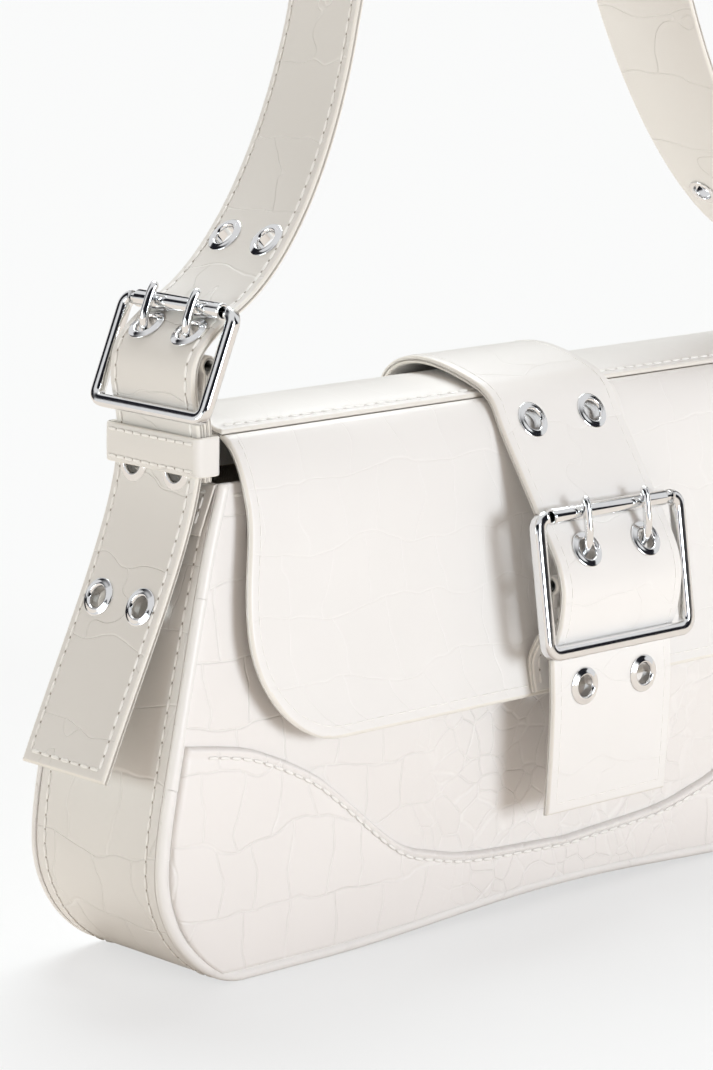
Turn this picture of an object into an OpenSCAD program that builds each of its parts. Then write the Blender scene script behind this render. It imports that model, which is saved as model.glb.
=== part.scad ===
// Baguette shoulder bag with a belt over its flap and a buckled carry strap.
// X runs along the bag, Y from front (-) to back (+), Z up from the floor.

/* [Body] */
// Width of the bag at its widest
bag_w = 284.4; // [270:0.1:300]
// Width across the tops of the two ends
bag_top_w = 231.8; // [228:0.1:236]
// Height of the front and back panels
bag_h = 125.7; // [122:0.1:128]
// Depth of the lower bag
bag_d = 49.6; // [46:0.1:52]
// Depth of the bag at its top edge
bag_top_d = 34.4; // [33.6:0.1:35]
// Height where the bag starts to narrow in depth
full_depth_z = 50; // [40:1:60]
// Height of the widest place
widest_z = 32; // [26:0.5:38]
// Rise of the bottom edge at the middle of the bag
base_arch = 3.3; // [1:0.1:6]
// Distance from the middle to where the bag starts to touch the floor
foot_in = 88; // [80:1:95]
// Distance from the middle to where the bottom corner starts
foot_out = 114; // [108:1:118]
// Thickness of the coated panels
panel_t = 2.0; // [1.6:0.1:2.4]
// Radius of the welt along the front and back seams
welt_r = 1.6; // [1.2:0.1:2]
// How far the welt stands out in front of its panel
welt_proud = 0.8; // [0.4:0.1:1.1]
// Thickness of the wave overlay
wave_t = 1.4; // [1:0.1:1.8]
// Height of the wave overlay at the middle
wave_mid_z = 15; // [12:0.5:20]
// Height of the wave overlay at the ends
wave_end_z = 65; // [58:0.5:70]
// Thickness of the lining
lining_t = 0.8; // [0.6:0.1:1]

/* [Flap] */
// Width of the flap along the top
flap_top_w = 223; // [216:0.5:225]
// Widest width of the flap
flap_w = 232; // [224:0.5:232]
// Thickness of the flap
flap_t = 2.2; // [1.8:0.1:2.4]
// Height of the flap's crest above the panels
crest_rise = 15.3; // [13:0.1:18]
// Height of the flap's lower edge
flap_low_z = 60.6; // [56:0.2:66]
// Distance from the panel to the flap's lower edge, to its outside
flap_stand = 9.8; // [9:0.1:11]
// Radius of the flap's lower corners
flap_corner = 27; // [20:1:32]
// Drop of the hinge line on the back below the bag's top edge
hinge_drop = 6.55; // [5:0.05:8]
// Thickness of the flap's lining
flap_lining_t = 0.7; // [0.5:0.1:0.9]

/* [Magnetic snap] */
// Diameter of the snap
snap_d = 18; // [15:0.5:20]
// Height of the snap's centre
snap_z = 74; // [70:0.5:78]
// Diameter of the stud's boss
stud_d = 5.5; // [4:0.5:6]
// Diameter of the socket's hole
socket_hole_d = 9.6; // [9:0.2:11]
// Thickness of the stud's disc
stud_disc_t = 1.8; // [1.4:0.1:2]
// Thickness of the washer behind the snap
washer_t = 0.6; // [0.5:0.1:0.7]

/* [Belt over the flap] */
// Width of the belt
belt_w = 45.4; // [42:0.2:46]
// Thickness of the belt and of the carry strap
strap_t = 2.2; // [2:0.1:2.4]
// Height of the belt's lower end
belt_end_z = 29.6; // [26:0.2:36]
// Lift of the belt off the flap's crest
belt_lift = 1.8; // [1:0.1:2.5]
// Distance between neighbouring eyelet pairs of the belt
belt_pitch = 37.6; // [35:0.2:39]
// Half distance between the two eyelets of a belt pair
belt_eye_x = 11.2; // [10:0.1:12]

/* [Belt buckle] */
// Outer width of the belt buckle
belt_buckle_w = 57; // [54:0.5:60]
// Outer height of the belt buckle
belt_buckle_h = 39.3; // [38:0.1:41]
// Diameter of the belt buckle's bars
belt_bar_d = 3.8; // [3.4:0.1:4]
// Height of the belt buckle's centre
belt_buckle_z = 91.5; // [90:0.1:93]
// Distance of the belt buckle's plane in front of the bag's middle plane
belt_buckle_y = 41.9; // [41:0.1:43]
// Lean of the belt buckle, its top towards the flap
belt_lean = 9; // [7:0.5:11]

/* [Strap buckles] */
// Outer width of a strap buckle
side_buckle_w = 43.9; // [42:0.1:46]
// Outer height of a strap buckle
side_buckle_h = 30.3; // [29.5:0.1:31.5]
// Diameter of a strap buckle's bars
side_bar_d = 3.2; // [2.8:0.1:3.4]
// Distance of a strap buckle's centre outside the top of the bag's end
side_buckle_out = 3.6; // [3.2:0.1:5]
// Height of a strap buckle's centre above the bag's top edge
side_buckle_up = 30; // [29.5:0.1:31.5]
// Lean of a strap buckle, its top towards the bag's middle
side_lean = 22.4; // [21:0.2:24]
// Half distance between the two eyelets of a strap pair
side_eye_y = 8; // [7.4:0.1:8.6]

/* [Buckle hardware] */
// Diameter of the middle bar
pin_d = 2.6; // [2.4:0.1:2.8]
// Distance of the middle bar behind the frame's plane
pin_back = 1.0; // [0.8:0.1:1.2]
// Diameter of the axle under the roller
axle_d = 2.5; // [2.2:0.1:2.7]
// Diameter of the roller
roller_d = 4.4; // [4.2:0.1:4.6]
// Radial running clearance of rollers and prongs
run_gap = 0.06; // [0.02:0.01:0.1]
// Diameter of a prong's wire
prong_d = 2.0; // [1.8:0.1:2.2]
// Width of a prong's eye along the bar
prong_eye_w = 2.6; // [2.2:0.1:3]
// Gap between a prong and the roller that it rests on
prong_rest_gap = 0.2; // [0.15:0.05:0.3]
// Thickness of a folded tab layer
tab_t = 1.2; // [1:0.1:1.3]

/* [Eyelets] */
// Diameter of an eyelet's flange
eyelet_d = 10; // [9:0.2:10.6]
// Diameter of an eyelet's hole
eyelet_hole_d = 5.4; // [5.2:0.1:5.6]
// Wall of an eyelet's barrel
eyelet_wall = 0.5; // [0.4:0.05:0.6]

/* [Carry strap] */
// Width of the carry strap
strap_w = 31.6; // [30:0.2:32]
// Height of the strap's crown above the bag's top edge
crown_up = 223.3; // [195:0.1:255]
// Half width of the strap's loop below the crown
loop_x = 52; // [46:1:58]
// Height above the bag's top edge where the loop is upright
loop_up = 164.3; // [150:0.1:180]
// How far the strap leans back for each unit of height
lean_rate = 0.103; // [0.06:0.001:0.12]
// Turn of the upper strap, its back edge inwards
strap_turn = 8.7; // [5:0.1:10]
// Distance of a tail's lower end outside the top of the bag's end
tail_out = 36.7; // [33:0.1:39]
// Drop of a tail's lower end below the bag's top edge
tail_drop = 70.1; // [64:0.1:75]
// Distance from a tail's end to the first eyelet pair, along the strap
first_eye = 44.3; // [42:0.1:47]
// Distance between neighbouring eyelet pairs of the strap
strap_pitch = 35.3; // [35:0.1:36]
// Height of a keeper's lower edge above the bag's top edge
keeper_up = 2.3; // [1.9:0.1:3.3]
// Height of a keeper
keeper_h = 10; // [9:0.1:10.4]
// Width of a keeper
keeper_w = 35.4; // [34.6:0.1:36]
// Thickness of a keeper
keeper_t = 1.3; // [1.1:0.1:1.4]
// Height above the bag's top edge of the line that the carry strap swings about
sway_up = 0.3; // [0.2:0.05:0.5]

/* [Hidden] */

leather = [0.90, 0.89, 0.87];
leather_side = [0.84, 0.82, 0.80];
cloth = [0.80, 0.77, 0.72];
chrome = [0.78, 0.79, 0.80];
snap_metal = [0.72, 0.72, 0.70];

$fn = 48;
fit = 0.1;
seam_gap = 0.15;
swing_gap = 0.3;
far = 400;

// Points of a cubic curve from a to d, with b and c as its handles
function curve(a, b, c, d, n = 10, first = 0) = [for (i = [first:n])
    let (t = i / n, s = 1 - t)
    s * s * s * a + 3 * s * s * t * b + 3 * s * t * t * c + t * t * t * d];

// Points of a smooth line through every given point, with n steps from each to the next
function through(p, n = 6, first = 0) = [for (i = [0:len(p) - 2], k = [i == 0 ? first : 0:n - 1])
    let (t = k / n, a = p[max(i - 1, 0)], b = p[i], c = p[i + 1], d = p[min(i + 2, len(p) - 1)])
    b + t * (c - a) / 2 + t * t * (2 * a - 5 * b + 4 * c - d) / 2
    + t * t * t * (3 * b - a - 3 * c + d) / 2, p[len(p) - 1]];

function unit(v) = v / norm(v);
function reverse(p) = [for (i = [len(p) - 1:-1:0]) p[i]];

// Left-hand normal of an open line of points at its point i
function side_of(p, i) = let (d = unit(p[min(i + 1, len(p) - 1)] - p[max(i - 1, 0)]))
    [-d[1], d[0]];
function shifted(p, by) = [for (i = [0:len(p) - 1]) p[i] + by * side_of(p, i)];
function strip(p, t) = concat(p, reverse(shifted(p, t)));
function mirrored(p) = concat([for (q = reverse(p)) [-q[0], q[1]]], p);

// Length of a line of points up to each of its points, and the place at a given length
function lengths(p) = [for (i = 0, s = 0; i < len(p);
    s = s + (i + 1 < len(p) ? norm(p[i + 1] - p[i]) : 0), i = i + 1) s];
function index_at(l, s) = max([for (i = [0:len(l) - 2]) if (l[i] <= s) i]);
function place_at(p, l, s) = let (i = index_at(l, s))
    p[i] + (s - l[i]) / (l[i + 1] - l[i]) * (p[i + 1] - p[i]);
function heading_at(p, l, s) = let (i = index_at(l, s)) unit(p[i + 1] - p[i]);

// Extrusions of an outline drawn in Y and Z along X, and of one drawn in X and Z along Y
module along_x(w) rotate([90, 0, 90]) linear_extrude(w, center = true) children();
module along_y(d) rotate([90, 0, 0]) linear_extrude(d, center = true) children();

// Everything is moved along Y so that the whole bag is centred over its origin
crown_z = bag_h + crown_up;
loop_z = bag_h + loop_up;
side_buckle_z = bag_h + side_buckle_up;
belt_half = (belt_buckle_h - belt_bar_d) / 2;
reach_front = belt_buckle_y + belt_half * sin(belt_lean) + belt_bar_d / 2;
lean_z = side_buckle_z + 4.3;
function lean_y(z) = lean_rate * max(z - lean_z, 0);
reach_back = lean_y(crown_z) + strap_w / 2 * cos(strap_turn) + strap_t / 2 * sin(strap_turn);
middle_y = (reach_front - reach_back) / 2;

// Half of the bag's front outline from the middle of the base to the top of the end
half_w = bag_w / 2;
top_x = bag_top_w / 2;
end_line = concat(
    [for (i = [0:12]) [foot_in * i / 12, base_arch * (1 + cos(180 * i / 12)) / 2]],
    curve([foot_out, 0], [foot_out + 12, 0], [half_w, widest_z - 18], [half_w, widest_z], 10),
    curve([half_w, widest_z], [half_w, widest_z + 20], [top_x + 12.1, bag_h - 27.7],
        [top_x, bag_h], 14, 1));
function raised(p, z) = concat(p, [[p[len(p) - 1][0], z]]);
module end_shape(inset, top) polygon(mirrored(raised(shifted(end_line, inset), top)));

// Half depth of the bag from its base to its top edge
depth_line = concat([[bag_d / 2, -20], [bag_d / 2, 0]],
    curve([bag_d / 2, full_depth_z], [bag_d / 2, full_depth_z + 25],
        [bag_top_d / 2 + 4, bag_h - 30], [bag_top_d / 2, bag_h], 12));
function depth_at(z) = lookup(z, [for (q = depth_line) [q[1], q[0]]]);
module depth_shape(inset, top) polygon(mirrored(raised(shifted(depth_line, inset), top)));

module body_core(end_inset, depth_inset, top) intersection() {
    along_y(far) end_shape(end_inset, top);
    along_x(far) depth_shape(depth_inset, top);
}

module half_space(side) translate([0, side * far / 2, 0]) cube([far, far, far], center = true);

// The flap's outer line: from the hinge up the back, over the crest to the seam, down the front
crest_z = bag_h + crest_rise;
hinge_z = bag_h - hinge_drop;
hinge_y = depth_at(hinge_z);
seam = [-12.2, crest_z - 3.4];
back_top = [hinge_y + 4.2, hinge_z + 14.3];
flap_low = [-bag_d / 2 - flap_stand, flap_low_z];
leg_line = curve([hinge_y, hinge_z + seam_gap], [hinge_y + 1.8, hinge_z + 5],
    back_top - [0, 5], back_top, 6);
crest_line = curve(back_top, back_top + [0, 8.4], seam + [14, 5.4], seam, 14, 1);
front_line = curve(seam, seam + [-12.8, -5.6], flap_low + [9.6, 40.4], flap_low, 18);
spine_line = concat(leg_line, crest_line);
seam_at = len(spine_line) - 1;
flap_line = concat(spine_line, [for (i = [1:len(front_line) - 1]) front_line[i]]);
function layer(from, to, t0, t1) = let (a = shifted(flap_line, t0), b = shifted(flap_line, t1))
    concat([for (i = [from:to]) a[i]], [for (i = [to:-1:from]) b[i]]);

// Half of the flap's outline seen from the front
flap_half = flap_w / 2;
flap_lining_inset = 4;
flap_top_half = flap_top_w / 2;
wide_z = flap_low_z + 29;
flap_side = concat(
    [[0, flap_low_z]],
    curve([flap_half - flap_corner, flap_low_z], [flap_half - 0.42 * flap_corner, flap_low_z],
        [flap_half, wide_z - 0.55 * flap_corner], [flap_half, wide_z], 10),
    curve([flap_half, wide_z], [flap_half, wide_z + 14], [flap_top_half, bag_h - 14],
        [flap_top_half, bag_h - 4], 8, 1),
    [[flap_top_half, crest_z + 20]]);
module flap_shape(inset) polygon(concat(
    [for (q = reverse(flap_side)) [-max(q[0] - inset, 0), q[1] + inset]],
    [for (q = flap_side) [max(q[0] - inset, 0), q[1] + inset]]));

module front_panel() color(leather) difference() {
    intersection() {
        body_core(0, 0, bag_h);
        half_space(-1);
    }
    along_x(far) depth_shape(panel_t, bag_h + far);
}

module back_panel() color(leather) difference() {
    intersection() {
        body_core(0, 0, bag_h);
        half_space(1);
    }
    along_x(far) depth_shape(panel_t, bag_h + far);
    translate([0, 0, hinge_z + far / 2]) cube([flap_top_w + 2 * swing_gap, far, far], center = true);
}

module gusset() color(leather_side) difference() {
    body_core(0, panel_t, bag_h);
    along_y(far) end_shape(panel_t, bag_h + far);
}

// The overlay covers the front panel below a wave that dips to the middle
wave_rise = wave_end_z - wave_mid_z;
wave_line = through([for (q = [[0, 0], [0.232, 0.054], [0.352, 0.134], [0.443, 0.24],
    [0.587, 0.572], [0.654, 0.712], [0.752, 0.85], [0.834, 0.928], [1, 1]])
    [q[0] * half_w, wave_mid_z + q[1] * wave_rise]], 5);
overlay_inset = 2 * welt_r + 2 * fit;
module wave_overlay() color(leather) difference() {
    intersection() {
        along_y(far) end_shape(overlay_inset, bag_h);
        along_y(far) polygon(mirrored(concat(wave_line, [[half_w, -far]])));
        along_x(far) depth_shape(-wave_t, bag_h);
        half_space(-1);
    }
    along_x(far) depth_shape(0, bag_h + far);
}

// A round welt carried along the bag's outline at the front or back edge
welt_steps = 8;
module welt(side) {
    line = mirrored(shifted(end_line, welt_r));
    n = len(line);
    rings = [for (i = [0:n - 1], k = [0:welt_steps - 1])
        let (a = 360 * k / welt_steps, s = side_of(line, i), r = welt_r,
            y = depth_at(line[i][1]) + welt_proud - welt_r)
        [line[i][0] + r * cos(a) * s[0], side * (y + r * sin(a)), line[i][1] + r * cos(a) * s[1]]];
    walls = [for (i = [0:n - 2], k = [0:welt_steps - 1])
        let (a = i * welt_steps + k, b = i * welt_steps + (k + 1) % welt_steps)
        for (f = [[a, b, b + welt_steps], [a, b + welt_steps, a + welt_steps]]) f];
    caps = [[for (k = [welt_steps - 1:-1:0]) k],
        [for (k = [0:welt_steps - 1]) (n - 1) * welt_steps + k]];
    turned = concat(walls, caps);
    polyhedron(rings, side > 0 ? turned : [for (f = turned) reverse(f)]);
}
module front_welt() color(leather) welt(-1);
module back_welt() color(leather) welt(1);

end_lining = panel_t + fit;
side_lining = 2 * welt_r - welt_proud + fit;
lining_drop = 3;
module body_lining() color(cloth) difference() {
    body_core(end_lining, side_lining, bag_h - lining_drop);
    body_core(end_lining + lining_t, side_lining + lining_t, far);
}

// The magnetic snap fills the gap between the front panel and the flap, on one level line
function on_front(z) = let (i = max([for (k = [0:len(front_line) - 1])
        if (front_line[k][1] >= z) k]), a = front_line[i], b = front_line[i + 1])
    a[0] + (z - a[1]) / (b[1] - a[1]) * (b[0] - a[0]);
panel_y = -depth_at(snap_z);
stud_face = on_front(snap_z + snap_d / 2) + flap_t + flap_lining_t + stud_disc_t;
socket_face = stud_face + swing_gap;
cap_t = 0.5;
module disc(y0, y1, d) translate([0, y0, snap_z]) rotate([-90, 0, 0]) cylinder(h = y1 - y0, d = d);
module snap_socket() color(snap_metal) difference() {
    disc(socket_face, 0, snap_d);
    disc(socket_face + cap_t, 0, snap_d - 2 * cap_t);
    disc(socket_face - 1, 0, socket_hole_d);
    along_x(far) depth_shape(0, bag_h);
}
module snap_magnet() color(snap_metal) difference() {
    disc(socket_face + cap_t, 0, snap_d - 2 * cap_t - 2 * fit);
    disc(socket_face - 1, 0, socket_hole_d);
    along_x(far) depth_shape(0, bag_h);
}
module snap_washer() color(snap_metal) intersection() {
    disc(panel_y, 0, snap_d);
    difference() {
        body_core(end_lining, side_lining + lining_t, bag_h);
        body_core(end_lining, side_lining + lining_t + washer_t, far);
    }
}
module snap_stud() color(snap_metal) {
    intersection() {
        disc(2 * flap_low[0], stud_face, snap_d);
        along_x(far) polygon(concat([[0, seam[1]]],
            shifted(front_line, flap_t + flap_lining_t), [[0, flap_low_z]]));
    }
    disc(stud_face - 0.5, panel_y - 1.2, stud_d);
}

module flap_spine() color(leather) intersection() {
    along_x(flap_top_w) polygon(layer(0, seam_at, 0, flap_t));
    along_y(far) flap_shape(0);
}
module flap_front() color(leather) intersection() {
    along_x(far) polygon(layer(seam_at, len(flap_line) - 1, 0, flap_t));
    along_y(far) flap_shape(0);
}
module flap_lining() color(cloth) intersection() {
    along_x(far) polygon(layer(seam_at, len(flap_line) - 1, flap_t, flap_t + flap_lining_t));
    along_y(far) flap_shape(flap_lining_inset);
}

// A buckle is drawn standing in X and Z, with its front towards -Y and its middle at the origin
pin_r = pin_d / 2;
axle_r = axle_d / 2;
roller_r = roller_d / 2;
prong_r = prong_d / 2;
loop_r = pin_r + run_gap + tab_t;
bulge = loop_r + strap_t - pin_back;

// How the strap's outer face weaves through a buckle, as height and distance behind its plane
round_roller = roller_r + swing_gap;
function weave(half, bar_r) = [[half, round_roller],
    [half - 0.77 * round_roller, 0.64 * round_roller], [0.45 * half, -0.53 * bulge],
    [0.15 * half, -0.95 * bulge], [-0.17 * half, -bulge], [-0.59 * half, -0.45 * bulge],
    [-0.81 * half, 0.2], [-half, bar_r + swing_gap]];

module bar_x(x0, x1, d) translate([x0, 0, 0]) rotate([0, 90, 0]) cylinder(h = x1 - x0, d = d);
corner_bend = 1.3;
function roller_half(w, bar_d) = w / 2 - bar_d * (0.5 + corner_bend) - swing_gap;
module buckle_frame(w, h, bar_d) color(chrome) {
    x = w / 2 - bar_d / 2;
    z = h / 2 - bar_d / 2;
    bend = bar_d * corner_bend;
    translate([0, 0, -z]) bar_x(bend - x, x - bend, bar_d);
    for (s = [-1, 1]) {
        translate([s * x, 0, bend - z]) cylinder(h = 2 * (z - bend), d = bar_d);
        for (t = [-1, 1]) translate([s * (x - bend), 0, t * (z - bend)]) rotate([90, 0, 0])
            rotate([0, 0, s > 0 ? (t > 0 ? 0 : -90) : (t > 0 ? 90 : 180)])
                rotate_extrude(angle = 90) translate([bend, 0]) circle(d = bar_d);
    }
    translate([0, 0, z]) bar_x(bend - x, x - bend, axle_d);
}
module buckle_bar(w, bar_d) color(chrome)
    translate([0, pin_back, 0]) bar_x(bar_d / 2 - w / 2, w / 2 - bar_d / 2, pin_d);
module roller(w, h, bar_d) color(chrome) translate([0, 0, h / 2 - bar_d / 2]) difference() {
    half = roller_half(w, bar_d);
    bar_x(-half, half, roller_d);
    bar_x(-half - 1, half + 1, axle_d + 2 * run_gap);
}

// A prong: an eye on the middle bar, and a wire that comes out of the eyelet over the roller
prong_sides = 10;
function prong_path(half) = let (over = roller_r + prong_r + prong_rest_gap) through([
    [pin_back + 0.3, pin_r + 0.4], [pin_back + 0.4, 0.2 * half], [pin_back - 0.5, 0.33 * half],
    [-0.5 * prong_d, 0.43 * half], [-0.78 * over, 0.54 * half], [-0.97 * over, 0.7 * half],
    [-over, 0.88 * half],
    [-over, half + 0.8], [-0.72 * over, half + 3.0], [-0.3 * over, half + 4.2]], 4);
module prong(half) color(chrome) {
    path = prong_path(half);
    n = len(path);
    rings = [for (i = [0:n - 1], k = [0:prong_sides - 1])
        let (a = 360 * k / prong_sides, s = side_of(path, i),
            r = prong_r * (i > n - 3 ? (i == n - 1 ? 0.55 : 0.85) : 1))
        [r * sin(a), path[i][0] + r * cos(a) * s[0], path[i][1] + r * cos(a) * s[1]]];
    faces = concat([for (i = [0:n - 2], k = [0:prong_sides - 1])
        let (a = i * prong_sides + k, b = i * prong_sides + (k + 1) % prong_sides)
        for (f = [[a, b, b + prong_sides], [a, b + prong_sides, a + prong_sides]]) f],
        [[for (k = [prong_sides - 1:-1:0]) k]],
        [[for (k = [0:prong_sides - 1]) (n - 1) * prong_sides + k]]);
    polyhedron(rings, [for (f = faces) reverse(f)]);
    translate([0, pin_back, 0]) difference() {
        bar_x(-prong_eye_w / 2, prong_eye_w / 2, 2 * (pin_r + 0.85));
        bar_x(-prong_eye_w, prong_eye_w, pin_d + 2 * run_gap);
    }
}

// A tab folded round the middle bar, its leg given as points of height and distance behind
module tab(leg, w, eye, lift) color(leather) difference() {
    union() {
        translate([0, pin_back, 0]) bar_x(-w / 2, w / 2, 2 * loop_r);
        along_x(w) polygon(strip(shifted([for (q = leg) [q[1], q[0]]], -tab_t), 2 * tab_t));
    }
    translate([0, pin_back, 0]) bar_x(-w, w, pin_d + 2 * run_gap);
    for (s = [-1, 1]) translate([s * eye, pin_back, lift])
        cube([prong_eye_w + 1, 4 * loop_r, 2 * lift + 2 * loop_r], center = true);
}

// An eyelet along Z, its flange up, through a strap whose middle is at the origin
eyelet_back = 0.65;
eyelet_room = eyelet_back + 0.4;
module eyelet() color(chrome) {
    hole = eyelet_hole_d / 2;
    out = eyelet_d / 2;
    face = strap_t / 2;
    rotate_extrude() polygon([[hole, -face - 0.5], [hole + 0.5, -face - eyelet_back],
        [out - 0.9, -face - 0.4], [out - 0.9, -face], [hole + eyelet_wall, -face],
        [hole + eyelet_wall, face], [out, face], [out, face + 0.3], [out - 0.5, face + 0.65],
        [hole + 0.8, face + 0.85], [hole, face + 0.6]]);
}

// The belt's outer line: from its sewn end over the crest, through the buckle, down to its tip
belt_buckle_at = [-belt_buckle_y, belt_buckle_z];
belt_up = [sin(belt_lean), cos(belt_lean)];
belt_back = [cos(belt_lean), -sin(belt_lean)];
function on_belt(q) = belt_buckle_at + q[0] * belt_up + q[1] * belt_back;
belt_from = 4;
rest_line = [for (i = [belt_from:len(spine_line) - 1])
    let (u = (i - belt_from) / (len(spine_line) - 1 - belt_from))
    spine_line[i] - (strap_t + fit + belt_lift * pow(sin(180 * u), 2) + eyelet_room * u)
    * side_of(spine_line, i)];
on_flap = [for (i = [2, 5])
    front_line[i] - (strap_t + fit + eyelet_room) * side_of(front_line, i)];
belt_tail_y = -belt_buckle_y - 0.9;
belt_line = concat(rest_line, through(concat([rest_line[len(rest_line) - 1]], on_flap,
    [on_belt([belt_half + 4.6, 4.5])],
    [for (q = weave(belt_half, belt_bar_d / 2)) on_belt(q)],
    [[belt_tail_y + 0.1, belt_buckle_z - 23], [belt_tail_y - 0.3, belt_buckle_z - 32],
    [belt_tail_y + 0.2, belt_end_z + 14], [belt_tail_y + 1.1, belt_end_z]]), 4, 1));
belt_mid = shifted(belt_line, strap_t / 2);
belt_run = lengths(belt_mid);

// The belt's eyelet pairs are counted from the pair in the buckle
function nearest(p, q) = let (d = [for (a = p) norm(a - q)], m = min(d))
    [for (i = [0:len(p) - 1]) if (d[i] == m) i][0];
belt_used = belt_run[nearest(belt_line, on_belt([0.45 * belt_half, -0.53 * bulge]))];
belt_eye_runs = [for (i = [-1:1]) belt_used + i * belt_pitch];
module at_belt_eyelets() for (run = belt_eye_runs, s = [-1, 1]) {
    at = place_at(belt_mid, belt_run, run);
    go = heading_at(belt_mid, belt_run, run);
    translate([s * belt_eye_x, at[0], at[1]]) rotate([atan2(go[1], go[0]) - 180, 0, 0]) children();
}
module belt() color(leather) difference() {
    along_x(belt_w) polygon(strip(belt_line, strap_t));
    at_belt_eyelets() cylinder(h = 3 * strap_t, d = eyelet_hole_d + 2 * eyelet_wall, center = true);
}
module belt_eyelets() at_belt_eyelets() eyelet();
module in_belt_buckle() translate([0, belt_buckle_at[0], belt_buckle_at[1]])
    rotate([-belt_lean, 0, 0]) children();
module belt_buckle_frame() in_belt_buckle()
    buckle_frame(belt_buckle_w, belt_buckle_h, belt_bar_d);
module belt_buckle_bar() in_belt_buckle() buckle_bar(belt_buckle_w, belt_bar_d);
module belt_roller() in_belt_buckle() roller(belt_buckle_w, belt_buckle_h, belt_bar_d);
module belt_prong(side) in_belt_buckle() translate([side * belt_eye_x, 0, 0]) prong(belt_half);
module belt_prong_left() belt_prong(-1);
module belt_prong_right() belt_prong(1);

// The belt's tab reaches from the middle bar down to the flap's lower edge, where it is sewn on
function off_flap(z) = on_front(z) - tab_t - fit;
function to_buckle(p) = let (d = p - belt_buckle_at) [d * belt_up, d * belt_back];
tab_low_z = flap_low_z + 1.4;
module belt_tab() in_belt_buckle() tab([[-pin_r - 0.6, pin_back + 0.5], [-5, pin_back + 1.2],
    [-9.5, pin_back + 2.3], to_buckle([off_flap(tab_low_z + 10) - 1.2, tab_low_z + 10]),
    to_buckle([off_flap(tab_low_z + 5), tab_low_z + 5]),
    to_buckle([off_flap(tab_low_z), tab_low_z])], belt_w, belt_eye_x, pin_r);

// The carry strap's outer line on the right, from its tail's end to the crown
side_buckle_x = top_x + side_buckle_out;
tail_x = top_x + tail_out;
tail_z = bag_h - tail_drop;
keeper_z = bag_h + keeper_up;
sway_z = bag_h + sway_up;
side_half = (side_buckle_h - side_bar_d) / 2;
side_up = [-sin(side_lean), cos(side_lean)];
side_back = [-cos(side_lean), -sin(side_lean)];
side_at = [side_buckle_x, side_buckle_z];
function on_side(q) = side_at + q[0] * side_up + q[1] * side_back;
side_weave = [for (q = reverse(weave(side_half, side_bar_d / 2))) on_side(q)];
keeper_x = side_buckle_x + 2.6;
keeper_mid = [keeper_x, keeper_z + 3.5];
strap_exit = side_weave[len(side_weave) - 1];
half_strap = concat(
    curve([tail_x, tail_z], [tail_x - 12.6, tail_z + 28.4], keeper_mid + [1.2, -17.5],
        keeper_mid, 12),
    through(concat([keeper_mid, keeper_mid + [0, 6.5]], side_weave), 4, 1),
    curve(strap_exit, strap_exit + [-32, 12.5], [loop_x, loop_z - 50], [loop_x, loop_z], 16, 1),
    curve([loop_x, loop_z], [loop_x, loop_z + 0.55 * (crown_z - loop_z)],
        [0.56 * loop_x, crown_z], [0, crown_z], 12, 1));
half_mid = shifted(half_strap, strap_t / 2);
half_run = lengths(half_mid);
half_n = len(half_mid);

// Turn of the strap about its own line at a height, and the place of a point of its section
turn_z = [side_buckle_z + 9.3, side_buckle_z + 79.3];
function turn_at(z) = strap_turn * min(max((z - turn_z[0]) / (turn_z[1] - turn_z[0]), 0), 1);
function strap_point(p, inward, w, out) = let (a = turn_at(p[1]))
    [p[0] + (w * sin(a) - out * cos(a)) * inward[0],
    lean_y(p[1]) + w * cos(a) + out * sin(a),
    p[1] + (w * sin(a) - out * cos(a)) * inward[1]];
module carry_strap() color(leather_side) difference() {
    line = concat(half_mid, [for (i = [half_n - 2:-1:0]) [-half_mid[i][0], half_mid[i][1]]]);
    n = len(line);
    corners = [[-strap_w / 2, strap_t / 2], [-strap_w / 2, -strap_t / 2],
        [strap_w / 2, -strap_t / 2], [strap_w / 2, strap_t / 2]];
    points = [for (i = [0:n - 1], c = corners) strap_point(line[i], side_of(line, i), c[0], c[1])];
    faces = concat([for (i = [0:n - 2], k = [0:3])
        let (a = 4 * i + k, b = 4 * i + (k + 1) % 4)
        for (f = [[a, b, b + 4], [a, b + 4, a + 4]]) f],
        [[3, 2, 1, 0]], [[for (k = [0:3]) 4 * (n - 1) + k]]);
    polyhedron(points, faces);
    at_strap_eyelets() cylinder(h = 3 * strap_t, d = eyelet_hole_d + 2 * eyelet_wall, center = true);
}
strap_eye_runs = [for (i = [0:3]) first_eye + i * strap_pitch];
module at_strap_eyelets() for (side = [0, 1], run = strap_eye_runs, s = [-1, 1])
    mirror([side, 0, 0]) {
        at = place_at(half_mid, half_run, run);
        go = heading_at(half_mid, half_run, run);
        p = strap_point(at, [-go[1], go[0]], s * side_eye_y, 0);
        translate(p) rotate([0, atan2(go[1], -go[0]), 0]) rotate([-turn_at(at[1]), 0, 0]) children();
    }
module strap_eyelets() at_strap_eyelets() eyelet();

// Pieces at the right end are drawn once and mirrored for the left end
module at_end(side) mirror([side < 0 ? 1 : 0, 0, 0]) children();
module in_side_buckle() translate([side_at[0], lean_y(side_at[1]), side_at[1]])
    rotate([0, -side_lean, 0]) rotate([0, 0, 90]) children();
module side_frame(side) at_end(side) in_side_buckle()
    buckle_frame(side_buckle_w, side_buckle_h, side_bar_d);
module side_bar(side) at_end(side) in_side_buckle() buckle_bar(side_buckle_w, side_bar_d);
module side_roller(side) at_end(side) in_side_buckle()
    roller(side_buckle_w, side_buckle_h, side_bar_d);
module side_prong(side, end) at_end(side) in_side_buckle()
    translate([end * side_eye_y, 0, 0]) prong(side_half);

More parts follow.
